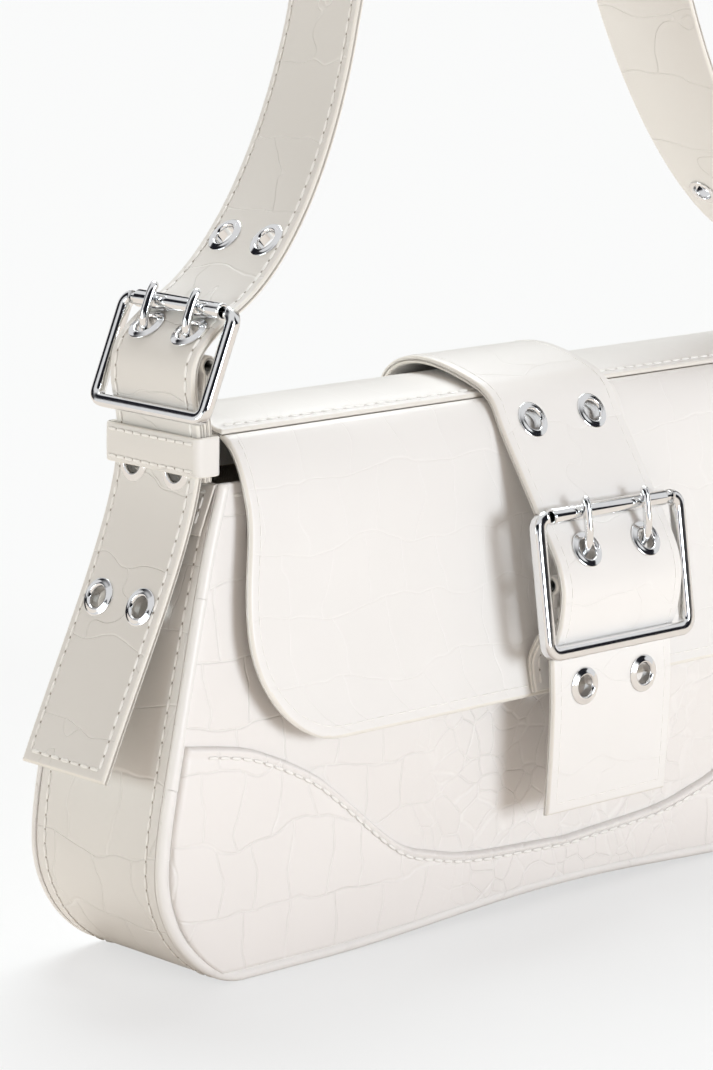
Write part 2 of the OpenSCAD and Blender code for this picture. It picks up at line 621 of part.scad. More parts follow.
// An end's tab hangs from the middle bar to the swing line, over a seat sewn to the gusset
function to_side(p) = let (d = p - side_at) [d * side_up, d * side_back];
strap_in = keeper_x - strap_t;
leg_x = strap_in - tab_t - fit;
module side_tab(side) at_end(side) in_side_buckle() tab([[-pin_r - 0.6, pin_back + 0.4],
    to_side([leg_x + 0.9, side_buckle_z - 8]), to_side([leg_x + 0.3, keeper_z + keeper_h + 3]),
    to_side([leg_x, keeper_z + keeper_h - 1]), to_side([leg_x, sway_z + swing_gap])],
    strap_w, side_eye_y, pin_r);
seat_t = 0.7;
seat_h = 12.4;
module side_seat(side) color(leather_side) at_end(side) intersection() {
    difference() {
        along_y(strap_w) end_shape(-seat_t, far);
        along_y(far) end_shape(0, far);
    }
    translate([far / 2, 0, bag_h - fit - seat_h / 2]) cube([far, far, seat_h], center = true);
}

// A keeper is a closed loop round the strap and the tab
keeper_back = leg_x - tab_t - fit;
keeper_front = keeper_x + 0.6;
module keeper(side) color(leather_side) at_end(side) translate([0, 0, keeper_z]) difference() {
    translate([keeper_back - keeper_t, -keeper_w / 2, 0])
        cube([keeper_front - keeper_back + 2 * keeper_t, keeper_w, keeper_h]);
    translate([keeper_back, keeper_t - keeper_w / 2, -1])
        cube([keeper_front - keeper_back, keeper_w - 2 * keeper_t, keeper_h + 2]);
}

module left_tab_seat() side_seat(-1);
module right_tab_seat() side_seat(1);
module left_keeper() keeper(-1);
module right_keeper() keeper(1);
module left_tab() side_tab(-1);
module right_tab() side_tab(1);
module left_buckle_frame() side_frame(-1);
module right_buckle_frame() side_frame(1);
module left_buckle_bar() side_bar(-1);
module right_buckle_bar() side_bar(1);
module left_roller() side_roller(-1);
module right_roller() side_roller(1);
module left_prong_front() side_prong(-1, -1);
module left_prong_back() side_prong(-1, 1);
module right_prong_front() side_prong(1, -1);
module right_prong_back() side_prong(1, 1);

translate([0, middle_y, 0]) {
    front_panel();
    back_panel();
    gusset();
    wave_overlay();
    front_welt();
    back_welt();
    body_lining();
    snap_socket();
    snap_magnet();
    snap_washer();
    left_tab_seat();
    right_tab_seat();
    flap_spine();
    flap_front();
    flap_lining();
    snap_stud();
    belt();
    belt_tab();
    belt_eyelets();
    belt_buckle_frame();
    belt_buckle_bar();
    belt_roller();
    belt_prong_left();
    belt_prong_right();
    carry_strap();
    strap_eyelets();
    left_keeper();
    right_keeper();
    left_tab();
    right_tab();
    left_buckle_frame();
    right_buckle_frame();
    left_buckle_bar();
    right_buckle_bar();
    left_roller();
    right_roller();
    left_prong_front();
    left_prong_back();
    right_prong_front();
    right_prong_back();
}
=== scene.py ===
"""An off-white shoulder bag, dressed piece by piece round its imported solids."""

import math

import bpy
import numpy as np
from mathutils import Matrix, Vector


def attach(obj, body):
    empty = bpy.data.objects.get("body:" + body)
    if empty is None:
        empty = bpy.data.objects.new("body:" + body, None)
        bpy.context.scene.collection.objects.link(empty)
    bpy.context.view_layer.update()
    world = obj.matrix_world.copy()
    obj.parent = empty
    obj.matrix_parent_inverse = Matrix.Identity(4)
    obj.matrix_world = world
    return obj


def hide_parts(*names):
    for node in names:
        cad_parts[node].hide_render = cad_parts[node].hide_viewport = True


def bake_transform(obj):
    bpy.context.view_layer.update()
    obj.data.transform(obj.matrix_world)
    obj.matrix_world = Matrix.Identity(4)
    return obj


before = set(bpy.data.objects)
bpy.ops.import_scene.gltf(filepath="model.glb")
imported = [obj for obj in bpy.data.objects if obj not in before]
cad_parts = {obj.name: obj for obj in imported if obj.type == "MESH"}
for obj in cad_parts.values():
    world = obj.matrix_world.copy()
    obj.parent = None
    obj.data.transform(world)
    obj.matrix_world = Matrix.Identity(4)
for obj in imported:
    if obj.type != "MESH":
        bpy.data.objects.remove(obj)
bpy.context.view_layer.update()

# The stage: the camera stands where the photograph was taken from, on a pale floor in a pale room.
# The key light is low in front, softer lights come from the left and above, and the room is dim.
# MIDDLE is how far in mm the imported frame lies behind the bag's own middle plane.
PHOTO_LONG_SIDE = 1070
SENSOR = 36.0
MIDDLE = 5.66256
focal_pixels = 4098.65
look_right = (0.72731154, -0.68618593, 0.0129144)
look_up = (0.12641094, 0.15243504, 0.98019581)
look_in = (0.67456519, 0.71127521, -0.19760917)
camera_place = (-0.773184, -0.758991 + MIDDLE / 1000, 0.313214)

camera = bpy.data.objects.new("camera", bpy.data.cameras.new("camera"))
bpy.context.scene.collection.objects.link(camera)
camera.data.sensor_width = SENSOR
camera.data.lens = focal_pixels * SENSOR / PHOTO_LONG_SIDE
camera.data.clip_end = 30
turned = Matrix((look_right, look_up, [-c for c in look_in])).transposed().to_4x4()
turned.translation = camera_place
camera.matrix_world = turned
bpy.context.scene.camera = camera
bpy.context.scene.view_settings.view_transform = "Standard"


class Wire:
    """A socket whose arithmetic adds the Math nodes that work it out."""

    def __init__(self, finish, socket):
        self.finish, self.socket = finish, socket

    def maths(self, operation, *values):
        return self.finish.node("ShaderNodeMath", {"operation": operation}, values)

    def __add__(self, other):
        return self.maths("ADD", self, other)

    def __sub__(self, other):
        return self.maths("SUBTRACT", self, other)

    def __rsub__(self, other):
        return self.maths("SUBTRACT", other, self)

    def __mul__(self, other):
        return self.maths("MULTIPLY", self, other)

    def __truediv__(self, other):
        return self.maths("DIVIDE", self, other)

    __radd__, __rmul__ = __add__, __mul__

    def step(self, low, high):
        """0 below low and 1 above high, with a smooth step between."""
        return self.finish.node("ShaderNodeMapRange", {"interpolation_type": "SMOOTHSTEP"},
                                {"Value": self, "From Min": low, "From Max": high})


class Finish:
    """A material: its nodes are added by their type, settings and inputs."""

    def __init__(self, name, tree=None):
        if tree is None:
            self.material = bpy.data.materials.new(name)
            self.material.use_nodes = True
            tree = self.material.node_tree
        self.tree = tree
        self.tree.nodes.clear()

    def node(self, kind, settings=None, inputs=(), out=0):
        made = self.tree.nodes.new(kind)
        for key, value in (settings or {}).items():
            setattr(made, key, value)
        for key, value in (inputs.items() if isinstance(inputs, dict) else enumerate(inputs)):
            if isinstance(value, Wire):
                self.tree.links.new(value.socket, made.inputs[key])
            else:
                made.inputs[key].default_value = value
        return Wire(self, made.outputs[out])

    def colours(self, share, first, second, how="MIX"):
        """The mix of two colours, share of the second."""
        return self.node("ShaderNodeMix", {"data_type": "RGBA", "blend_type": how},
                         {0: share, 6: first, 7: second}, out=2)

    def vectors(self, operation, *values):
        return self.node("ShaderNodeVectorMath", {"operation": operation}, values)

    def in_mm(self, coordinates):
        """Texture coordinates, which are stored in metres, in millimetres."""
        where = self.node("ShaderNodeTexCoord", out=coordinates)
        return self.vectors("MULTIPLY", where, (1000, 1000, 1000))

    def split(self, vector):
        """X, Y and Z of a vector."""
        made = self.tree.nodes.new("ShaderNodeSeparateXYZ")
        self.tree.links.new(vector.socket, made.inputs[0])
        return [Wire(self, socket) for socket in made.outputs]

    def surface(self, **inputs):
        names = {key.replace("_", " "): value for key, value in inputs.items()}
        shader = self.node("ShaderNodeBsdfPrincipled", {}, names)
        self.node_output(shader)
        return self.material

    def node_output(self, shader, kind="ShaderNodeOutputMaterial"):
        made = self.tree.nodes.new(kind)
        self.tree.links.new(shader.socket, made.inputs[0])


PALE = (0.913, 0.913, 0.913, 1)
floor_finish = Finish("floor")
seen = floor_finish.node("ShaderNodeLightPath", out="Is Camera Ray")
shade = floor_finish.colours(seen, (0.86, 0.80, 0.745, 1), (0.30, 0.309, 0.313, 1))
plain = floor_finish.node("ShaderNodeBsdfDiffuse", {}, {"Color": shade})
lift = floor_finish.node("ShaderNodeEmission", {}, {"Color": PALE, "Strength": seen * 0.69})
floor_finish.node_output(floor_finish.node("ShaderNodeAddShader", {}, [plain, lift]))

floor_data = bpy.data.meshes.new("floor")
reach = 6.0
floor_data.from_pydata([(-reach, -reach, 0), (reach, -reach, 0), (reach, reach, 0),
                        (-reach, reach, 0)], [], [(0, 1, 2, 3)])
floor_data.materials.append(floor_finish.material)
floor = bpy.data.objects.new("floor", floor_data)
bpy.context.scene.collection.objects.link(floor)
floor.location.z = -0.0002

world = bpy.data.worlds.new("room")
bpy.context.scene.world = world
world.use_nodes = True
room = Finish("room", world.node_tree)
rays = room.node("ShaderNodeLightPath", out="Is Camera Ray")
glossy = room.node("ShaderNodeLightPath", out="Is Glossy Ray")
towards = room.node("ShaderNodeTexCoord", out="Generated")
across_room, along_room, up_room = room.split(towards)
bands = across_room * 6.0 + along_room * 3.5 + up_room * 3.0
dark_band = bands.maths("SINE", bands).step(-0.05, 0.3) * (1 - up_room.step(0.55, 0.8))
mirror_tone = room.colours(dark_band, (0.80, 0.80, 0.81, 1), (0.015, 0.015, 0.02, 1))
fill_tone = (0.34, 0.28, 0.24, 1)
tone = room.colours(glossy, fill_tone, mirror_tone)
tone = room.colours(rays, tone, PALE)
room.node_output(room.node("ShaderNodeBackground", {}, {"Color": tone}), "ShaderNodeOutputWorld")


def sunlight(name, from_where, energy, tone, angle):
    lamp = bpy.data.objects.new(name, bpy.data.lights.new(name, "SUN"))
    lamp.data.energy, lamp.data.color, lamp.data.angle = energy, tone, math.radians(angle)
    bpy.context.scene.collection.objects.link(lamp)
    lamp.rotation_mode = "QUATERNION"
    lamp.rotation_quaternion = Vector(from_where).to_track_quat("Z", "Y")


sunlight("key", (0.14, -1.0, 0.13), 2.02, (0.875, 0.935, 1.0), 24)
sunlight("side fill", (-1.0, 0.30, 0.05), 1.46, (0.90, 0.99, 1.0), 30)
sunlight("top fill", (0.5, 0.45, 1.0), 2.6, (0.93, 0.985, 1.0), 40)

# The bag's body: front and back panels of coated leather with an embossed scale grain, joined by
# one gusset strip up both ends and along the base. Round welts are caught in both long seams.
BAG_W, BAG_TOP_W, BAG_H = 284.4, 231.8, 125.7
BAG_D, BAG_TOP_D, FULL_DEPTH_Z, WIDEST_Z = 49.6, 34.4, 50.0, 32.0
BASE_ARCH, FOOT_IN, FOOT_OUT = 3.3, 88.0, 114.0
PANEL_T, WELT_R, WELT_PROUD = 2.0, 1.6, 0.8
SOFT_EDGE = np.array([0, 0.076, 0.293, 0.617, 1.0])


def bezier(a, b, c, d, n=60, first=0):
    """Points of the cubic curve s^3 a + 3 s^2 t b + 3 s t^2 c + t^3 d, with s = 1 - t."""
    t = np.linspace(0, 1, n + 1)[first:, None]
    s = 1 - t
    a, b, c, d = (np.array(p, float) for p in (a, b, c, d))
    return s**3 * a + 3 * s**2 * t * b + 3 * s * t**2 * c + t**3 * d


def through(points, n=24, first=0):
    """A smooth line through every point: on each span the cubic whose end slopes are half the
    difference of the points on either side."""
    p = np.array(points, float)
    a, b, c, d = p[np.r_[0, 0:len(p) - 2]], p[:-1], p[1:], p[np.r_[2:len(p), len(p) - 1]]
    t = (np.arange(n) / n)[None, :, None]
    a, b, c, d = (q[:, None] for q in (a, b, c, d))
    line = b + t * (c - a) / 2 + t**2 * (2 * a - 5 * b + 4 * c - d) / 2 \
        + t**3 * (3 * b - a - 3 * c + d) / 2
    return np.vstack([line.reshape(-1, p.shape[1])[first:], p[-1:]])


def left_of(line):
    """Unit normals to the left of an open line in a plane, from the points before and after."""
    d = np.empty_like(line)
    d[1:-1] = line[2:] - line[:-2]
    d[0], d[-1] = line[1] - line[0], line[-1] - line[-2]
    d /= np.linalg.norm(d, axis=1)[:, None]
    return np.stack([-d[:, 1], d[:, 0]], 1)


def shifted(line, by):
    return line + by * left_of(line)


def run_of(line):
    """Length along a line up to each of its points."""
    return np.r_[0, np.cumsum(np.linalg.norm(np.diff(line, axis=0), axis=1))]


def at_run(line, run, s):
    """Points of the line at the lengths s, going straight on beyond its ends."""
    s = np.asarray(s, float)
    inside = np.stack([np.interp(s, run, line[:, k]) for k in range(line.shape[1])], -1)
    before = np.minimum(s, 0)[..., None] * (line[1] - line[0]) / (run[1] - run[0])
    after = np.maximum(s - run[-1], 0)[..., None] * (line[-1] - line[-2]) / (run[-1] - run[-2])
    return inside + before + after


half_w, top_x = BAG_W / 2, BAG_TOP_W / 2
arch_t = np.linspace(0, 1, 61)
end_line = np.vstack([
    np.stack([FOOT_IN * arch_t, BASE_ARCH * (1 + np.cos(np.pi * arch_t)) / 2], 1),
    bezier((FOOT_OUT, 0), (FOOT_OUT + 12, 0), (half_w, WIDEST_Z - 18), (half_w, WIDEST_Z)),
    bezier((half_w, WIDEST_Z), (half_w, WIDEST_Z + 20), (top_x + 12.1, BAG_H - 27.7),
           (top_x, BAG_H), first=1)])
depth_line = np.vstack([[(BAG_D / 2, -20), (BAG_D / 2, 0)],
                        bezier((BAG_D / 2, FULL_DEPTH_Z), (BAG_D / 2, FULL_DEPTH_Z + 25),
                               (BAG_TOP_D / 2 + 4, BAG_H - 30), (BAG_TOP_D / 2, BAG_H))])
end_side = end_line[len(arch_t):]


def depth_at(z):
    return np.interp(z, depth_line[:, 1], depth_line[:, 0])


def arch_at(x):
    """Height of the base: a cosine arch between the two feet."""
    return BASE_ARCH * (1 + np.cos(np.pi * np.clip(np.abs(x) / FOOT_IN, 0, 1))) / 2


def half_width(z):
    return np.interp(z, end_side[:, 1], end_side[:, 0])


def spaced(start, end, step, edge):
    """Places from start to end, close together over the rounded edge and step apart between."""
    count = max(2, round((end - start - 2 * edge) / step) + 1)
    inner = np.linspace(start + edge, end - edge, count)
    near = SOFT_EDGE[:-1] * edge
    return np.r_[start + near, inner, end - near[::-1]]


def grid_faces(m, n, loop_u=False, loop_v=False):
    """Four-sided faces of an m by n grid of points."""
    i, j = np.meshgrid(np.arange(m if loop_u else m - 1), np.arange(n if loop_v else n - 1),
                       indexing="ij")
    i, j = i.ravel(), j.ravel()
    i2, j2 = (i + 1) % m, (j + 1) % n
    return np.stack([i * n + j, i2 * n + j, i2 * n + j2, i * n + j2], 1)


def normals_of(place, u, v, h=0.15):
    """Unit normals of place(u, v): the cross product of its two slopes."""
    n = np.cross(place(u + h, v) - place(u - h, v), place(u, v + h) - place(u, v - h))
    return n / np.linalg.norm(n, axis=-1, keepdims=True)


def plate(place, us, vs, thickness, edge, out=1, rim=None, relief=None, pattern=None, loop=False):
    """A sheet whose outer face is place(u, v), raised by relief(u, v) along its normal. At a
    distance d inside its rim both faces turn in by edge - sqrt(edge^2 - (edge - d)^2)."""
    u, v = np.meshgrid(us, vs, indexing="ij")
    normal = out * normals_of(place, u, v)
    if rim is None:
        d = np.minimum(v - vs[0], vs[-1] - v)
        if not loop:
            d = np.minimum(d, np.minimum(u - us[0], us[-1] - u))
    else:
        d = rim(u, v)
    drop = edge - np.sqrt(np.maximum(edge**2 - np.maximum(edge - d, 0)**2, 0))
    high = relief(u, v) if relief else 0 * u
    base = place(u, v)
    outer = base + normal * (high - drop)[..., None]
    inner = base - normal * (thickness - drop)[..., None]
    m, n = u.shape
    points = np.concatenate([outer.reshape(-1, 3), inner.reshape(-1, 3)])
    grid = grid_faces(m, n, loop_u=loop)
    rows = [grid, grid[:, ::-1] + m * n]
    first, last = np.arange(m) * n, np.arange(m) * n + n - 1
    around = [first, last] if loop else [np.r_[first, (m - 1) * n + np.arange(1, n),
                                               last[:-1][::-1], np.arange(1, n - 1)[::-1]]]
    for ring in around:
        nxt = np.roll(ring, -1)
        rows.append(np.stack([ring, nxt, nxt + m * n, ring + m * n], 1))
        if loop and ring is last:
            rows[-1] = rows[-1][:, ::-1]
    flat = pattern(u, v) if pattern else np.stack([u, v], -1)
    flat = np.tile(flat.reshape(-1, 2), (2, 1))
    marks = np.r_[np.zeros(2 * len(grid), int), np.ones(sum(map(len, rows[2:])), int)]
    near = d.ravel()[grid].max(1) < edge * 0.9
    marks[:len(grid)][near] = 1
    marks[len(grid):2 * len(grid)][near] = 1
    return points, np.concatenate(rows), flat, marks


def tube(path, radius, sides=12, across=(0, 1, 0), loop=False, ends=True, power=2):
    """A bar along a path: at each point an outline square to it, spun from the vector across x
    heading, with r = radius (|cos a|^power + |sin a|^power)^(-1/power): a circle for power 2."""
    path = np.array(path, float)
    ahead = np.roll(path, -1, 0) - np.roll(path, 1, 0)
    if not loop:
        ahead[0], ahead[-1] = path[1] - path[0], path[-1] - path[-2]
    ahead /= np.linalg.norm(ahead, axis=1)[:, None]
    side = np.cross(across, ahead)
    side /= np.linalg.norm(side, axis=1)[:, None]
    other = np.cross(ahead, side)
    a = np.linspace(0, 2 * np.pi, sides, endpoint=False)
    r = np.broadcast_to(radius, len(path))[:, None, None]
    r = r * ((np.abs(np.cos(a))**power + np.abs(np.sin(a))**power)**(-1 / power))[None, :, None]
    rings = path[:, None] + r * (np.cos(a)[None, :, None] * side[:, None]
                                 + np.sin(a)[None, :, None] * other[:, None])
    faces = grid_faces(len(path), sides, loop_u=loop, loop_v=True)
    run = run_of(path)
    flat = np.stack(np.broadcast_arrays(run[:, None], (a * np.max(radius))[None]), -1)
    points, flat = rings.reshape(-1, 3), flat.reshape(-1, 2)
    faces = faces.tolist()
    if ends and not loop:
        faces += [list(range(sides))[::-1], list(range(len(points) - sides, len(points)))]
    return points, faces, flat, np.zeros(len(faces), int)


def joined(parts):
    """Several (points, faces, flat, marks) as one."""
    points, faces, flat, marks, n = [], [], [], [], 0
    for p, f, w, m in parts:
        points.append(p)
        faces += [[i + n for i in row] for row in (f.tolist() if hasattr(f, "tolist") else f)]
        flat.append(w)
        marks.append(m)
        n += len(p)
    return np.concatenate(points), faces, np.concatenate(flat), np.concatenate(marks)


def volume_of(points, faces):
    """Signed volume: a sixth of the sum of a . (b x c) over each face's fan of triangles."""
    total = 0.0
    sizes = {}
    for row in faces:
        sizes.setdefault(len(row), []).append(row)
    for size, rows in sizes.items():
        q = points[np.array(rows)]
        for k in range(1, size - 1):
            total += np.einsum("ij,ij->i", q[:, 0], np.cross(q[:, k], q[:, k + 1])).sum()
    return total / 6


def piece(name, shape, finishes, body, nodes=(), mirror=False, blend=None):
    """Puts a shape given in millimetres into the scene as one object that moves with body; when
    blend is given, the object is only baked in place and follows no body.
    """
    points, faces, flat, marks = shape
    points = points * ((-1, 1, 1) if mirror else (1, 1, 1))
    faces = faces.tolist() if hasattr(faces, "tolist") else faces
    if volume_of(points, faces) < 0:
        faces = [row[::-1] for row in faces]
    data = bpy.data.meshes.new(name)
    data.from_pydata(((points + (0, MIDDLE, 0)) / 1000).tolist(), [], faces)
    loops = np.empty(len(data.loops), np.int32)
    data.loops.foreach_get("vertex_index", loops)
    layer = data.uv_layers.new(name="UVMap")
    layer.data.foreach_set("uv", (flat[loops] / 1000).astype(np.float32).ravel())
    data.polygons.foreach_set("use_smooth", np.ones(len(data.polygons), bool))
    for finish in finishes:
        data.materials.append(finish)
    marks = np.minimum(marks, len(finishes) - 1).astype(np.int32)
    data.polygons.foreach_set("material_index", marks)
    data.update()
    made = bpy.data.objects.new(name, data)
    bpy.context.scene.collection.objects.link(made)
    if blend:
        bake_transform(made)
    else:
        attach(made, body)
    if nodes:
        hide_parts(*nodes)
    return made


def coated_leather(name, tone, line_tone, cell, line=0.5, small=None, wrinkle=0.0, deep=0.00016,
                   pale=0.4):
    """Semi-gloss coating over leather pressed with scales: cell is a scale's width and height in
    mm, and small the half width of the middle zone, where the scales are small and round."""
    f = Finish(name)
    where = f.in_mm("UV")
    drift = f.node("ShaderNodeTexNoise", {}, {"Vector": where, "Scale": 0.045, "Detail": 1.5},
                   out=1)
    drift = f.vectors("SUBTRACT", drift, (0.5, 0.5, 0.5))
    bent = f.vectors("ADD", where, f.vectors("MULTIPLY", drift, (cell[0] * 1.1, cell[1] * 0.8, 0)))
    tile = {"Vector": bent, "Color1": (0.2, 0.2, 0.2, 1), "Color2": (0.8, 0.8, 0.8, 1),
            "Mortar": (0.5, 0.5, 0.5, 1), "Scale": 1.0, "Mortar Size": line, "Mortar Smooth": 1.0,
            "Brick Width": cell[0], "Row Height": cell[1]}
    bricks = {"offset": 0.4, "offset_frequency": 2, "squash": 1.25, "squash_frequency": 3}
    lines = f.node("ShaderNodeTexBrick", bricks, tile, out="Fac")
    cells = f.node("ShaderNodeTexBrick", bricks, tile, out="Color")
    if small is not None:
        round_cells = f.node("ShaderNodeTexVoronoi", {"feature": "DISTANCE_TO_EDGE"},
                             {"Vector": bent, "Scale": 0.15, "Randomness": 0.85}, out="Distance")
        round_lines = 1 - (round_cells / 0.12).step(0.05, 0.55)
        across = f.split(where)[0]
        side = across.maths("ABSOLUTE", across)
        share = side.step(small, small + 25)
        lines = lines * share + round_lines * (1 - share)
    fine = f.node("ShaderNodeTexNoise", {}, {"Vector": where, "Scale": 1.6, "Detail": 3.0})
    broad = f.node("ShaderNodeTexNoise", {}, {"Vector": where, "Scale": 0.03, "Detail": 2.0})
    pucker = f.node("ShaderNodeTexNoise", {}, {"Vector": bent, "Scale": 0.16, "Detail": 2.0})
    colour = f.colours(broad.step(0.3, 0.7) * 0.35, tone, [c * 0.955 for c in tone[:3]] + [1])
    colour = f.colours(cells * 0.05, colour, (1, 0.995, 0.985, 1))
    colour = f.colours(lines * pale, colour, line_tone)
    height = lines * -1.0 + fine * 0.10 + pucker * wrinkle
    bump = f.node("ShaderNodeBump", {}, {"Height": height, "Strength": 1.0, "Distance": deep})
    rough = 0.36 + fine * 0.10 + lines * 0.10
    return f.surface(Base_Color=colour, Roughness=rough, Normal=bump, Coat_Weight=0.12,
                     Coat_Roughness=0.22)


OFF_WHITE = (0.862, 0.838, 0.814, 1)
PALE_LINE = (0.94, 0.925, 0.90, 1)
panel_leather = coated_leather("scale-embossed leather", OFF_WHITE, PALE_LINE, (13.5, 17.0),
                               small=38)
gusset_leather = coated_leather("gusset leather", (0.80, 0.785, 0.755, 1), PALE_LINE, (16.0, 19.0),
                                wrinkle=0.9)
welt_leather = coated_leather("welt leather", (0.88, 0.868, 0.845, 1), PALE_LINE, (40.0, 60.0),
                              line=0.1)
PUFF, TUCK, SNAP_Z = 1.3, 9.0, 74.0


def panel_face(side):
    """The front (side -1) or back face: x is u times the half width at the height v, the base's
    arch fades out over 40 mm, and the face swells by PUFF (1 - exp(-d / TUCK)) inside its seam. The
    front is drawn flat round the snap."""
    def place(u, v):
        w = half_width(np.clip(v, 0, BAG_H))
        x = u / half_w * w
        z = v + arch_at(x) * np.clip(1 - v / 40, 0, 1)
        d = np.minimum(np.clip(w - np.abs(x), 0, None), np.clip(z, 0, None))
        swell = PUFF * (1 - np.exp(-d / TUCK)) * np.clip((BAG_H - z) / 25, 0, 1)
        if side < 0:
            swell = swell * (1 - np.exp(-(np.hypot(x, z - SNAP_Z) / 15)**4))
        return np.stack([x, side * (depth_at(z) + swell - 0.25), z], -1)
    return place


def on_face(place):
    """The pattern of a face follows its own X and Z."""
    return lambda u, v: place(u, v)[..., [0, 2]]


low_rows = WIDEST_Z * (1 - np.cos(np.linspace(0, np.pi / 2, 22)))
panel_rows = np.r_[low_rows, spaced(WIDEST_Z + 2, BAG_H, 2.2, 0.6)[3:]]
panel_columns = spaced(-half_w, half_w, 2.2, 2.0)
front_face = panel_face(-1)
piece("front_panel_skin", plate(front_face, panel_columns, panel_rows, PANEL_T, 0.5,
                                pattern=on_face(front_face)),
      [panel_leather], "bag", ["front_panel"])

HINGE_Z = 119.15
FLAP_TOP_W = 223.0
back_face = panel_face(1)
back_rows = np.r_[panel_rows[panel_rows < HINGE_Z - 2], HINGE_Z - 1, HINGE_Z]
back_main = plate(back_face, panel_columns, back_rows, PANEL_T, 0.4, out=-1,
                  pattern=on_face(back_face))


def back_corner(side):
    """The strip of the back panel beside the flap's fold, up to the bag's top edge."""
    def place(u, v):
        x = FLAP_TOP_W / 2 + 0.4 + u * (half_width(v) - FLAP_TOP_W / 2 - 0.4)
        return np.stack([side * x, depth_at(v) - 0.25 + 0 * u, v], -1)
    return plate(place, np.linspace(0, 1, 5), np.linspace(HINGE_Z - 0.5, BAG_H, 6), PANEL_T, 0.1,
                 out=-side)


piece("back_panel_skin", joined([back_main, back_corner(1), back_corner(-1)]),
      [panel_leather], "bag", ["back_panel"])

outline = np.vstack([(end_line * (-1, 1))[::-1], end_line[1:]])
outline_run = run_of(outline)


GUSSET_HALF, RIPPLE = 24.0, 0.35


def gusset_face(u, v):
    """The gusset: u is the length along the bag's outline from its left top, v the place across,
    from the front seam at -GUSSET_HALF to the back one. Its ends ripple a little."""
    q = at_run(outline, outline_run, u)
    share = v / GUSSET_HALF
    ripple = RIPPLE * np.sin(u / 17.0 + 1.3 * share) * np.cos(u / 29.0) * (1 - share**2)
    out_x = np.sign(q[..., 0]) * np.clip((np.abs(q[..., 0]) - 100) / 25, 0, 1)
    y = share * (depth_at(q[..., 1]) - 0.6)
    return np.stack([q[..., 0] + out_x * (ripple - RIPPLE), y, q[..., 1]], -1)


gusset_runs = spaced(0, outline_run[-1], 2.4, 0.8)
gusset_places = GUSSET_HALF * np.sin(np.linspace(-np.pi / 2, np.pi / 2, 29))
piece("gusset_skin", plate(gusset_face, gusset_runs, gusset_places, PANEL_T, 0.5, out=-1,
                           pattern=lambda u, v: np.stack([v, u], -1)),
      [gusset_leather], "bag", ["gusset"])

for side, name in ((-1, "front"), (1, "back")):
    line = np.vstack([(p := shifted(end_line, WELT_R) * (-1, 1))[::-1], (p * (-1, 1))[1:]])
    y = side * (depth_at(line[:, 1]) + WELT_PROUD - WELT_R)
    path = np.stack([line[:, 0], y, line[:, 1]], 1)
    keep = np.r_[True, np.linalg.norm(np.diff(path, axis=0), axis=1) > 0.4]
    piece(f"{name}_welt_skin", tube(path[keep], WELT_R, 14), [welt_leather], "bag",
          [f"{name}_welt"])

# The seams' stitches: thread runs in and out of stitch holes at an even pitch, sunk a little into
# the coating, with a small disc of painted shade for the hole between one stitch and the next.
STITCH_PITCH, STITCH_LONG, THREAD_R = 3.7, 2.9, 0.40


def thread_finish():
    f = Finish("thread")
    where = f.in_mm("Object")
    strand = f.node("ShaderNodeTexNoise", {}, {"Vector": where, "Scale": 2.5, "Detail": 2.0})
    colour = f.colours(strand, (0.93, 0.92, 0.89, 1), (0.98, 0.97, 0.945, 1))
    bump = f.node("ShaderNodeBump", {}, {"Height": strand, "Distance": 0.00008})
    return f.surface(Base_Color=colour, Roughness=strand * 0.2 + 0.45, Normal=bump)


# Painted shade: a stitch hole's finish is a dark speckled colour that stands for the shade inside
# the hole.
def hole_shade_finish(name, dark, light):
    f = Finish(name)
    where = f.node("ShaderNodeTexCoord", out="Object")
    speck = f.node("ShaderNodeTexNoise", {}, {"Vector": where, "Scale": 900.0})
    colour = f.colours(speck, dark, light)
    return f.surface(Base_Color=colour, Roughness=speck * 0.2 + 0.6)


thread = thread_finish()
# Painted shade: the first is the dark shade of stitch holes in shaded rows; the second is the same
# shade painted lighter for rows lying in the light on the belt, flap and wave.
needle_hole_shade = hole_shade_finish("stitch hole painted shade", (0.33, 0.29, 0.25, 1), (0.48, 0.44, 0.39, 1))
lit_hole_shade = hole_shade_finish("lit stitch hole painted shade", (0.76, 0.74, 0.70, 1), (0.84, 0.82, 0.78, 1))
around = np.linspace(0, 2 * np.pi, 6, endpoint=False)
bead_x = np.array([-1.0, -0.8, 0.0, 0.8, 1.0]) * STITCH_LONG / 2
bead_r = np.array([0.35, 0.85, 1.0, 0.85, 0.35]) * THREAD_R
bead = np.stack(np.broadcast_arrays(bead_x[:, None], bead_r[:, None] * np.cos(around),
                                    bead_r[:, None] * np.sin(around)), -1).reshape(-1, 3)
bead_faces = grid_faces(5, 6, loop_v=True).tolist() + [[5, 4, 3, 2, 1, 0], list(range(24, 30))]
dot = np.stack([0.32 * np.cos(around), 0.28 * np.sin(around), 0 * around], -1)
dot = np.concatenate([dot - (0, 0, 0.05), dot - (0, 0, 0.4)])
dot_faces = grid_faces(2, 6, loop_v=True).tolist() + [[0, 1, 2, 3, 4, 5], [11, 10, 9, 8, 7, 6]]


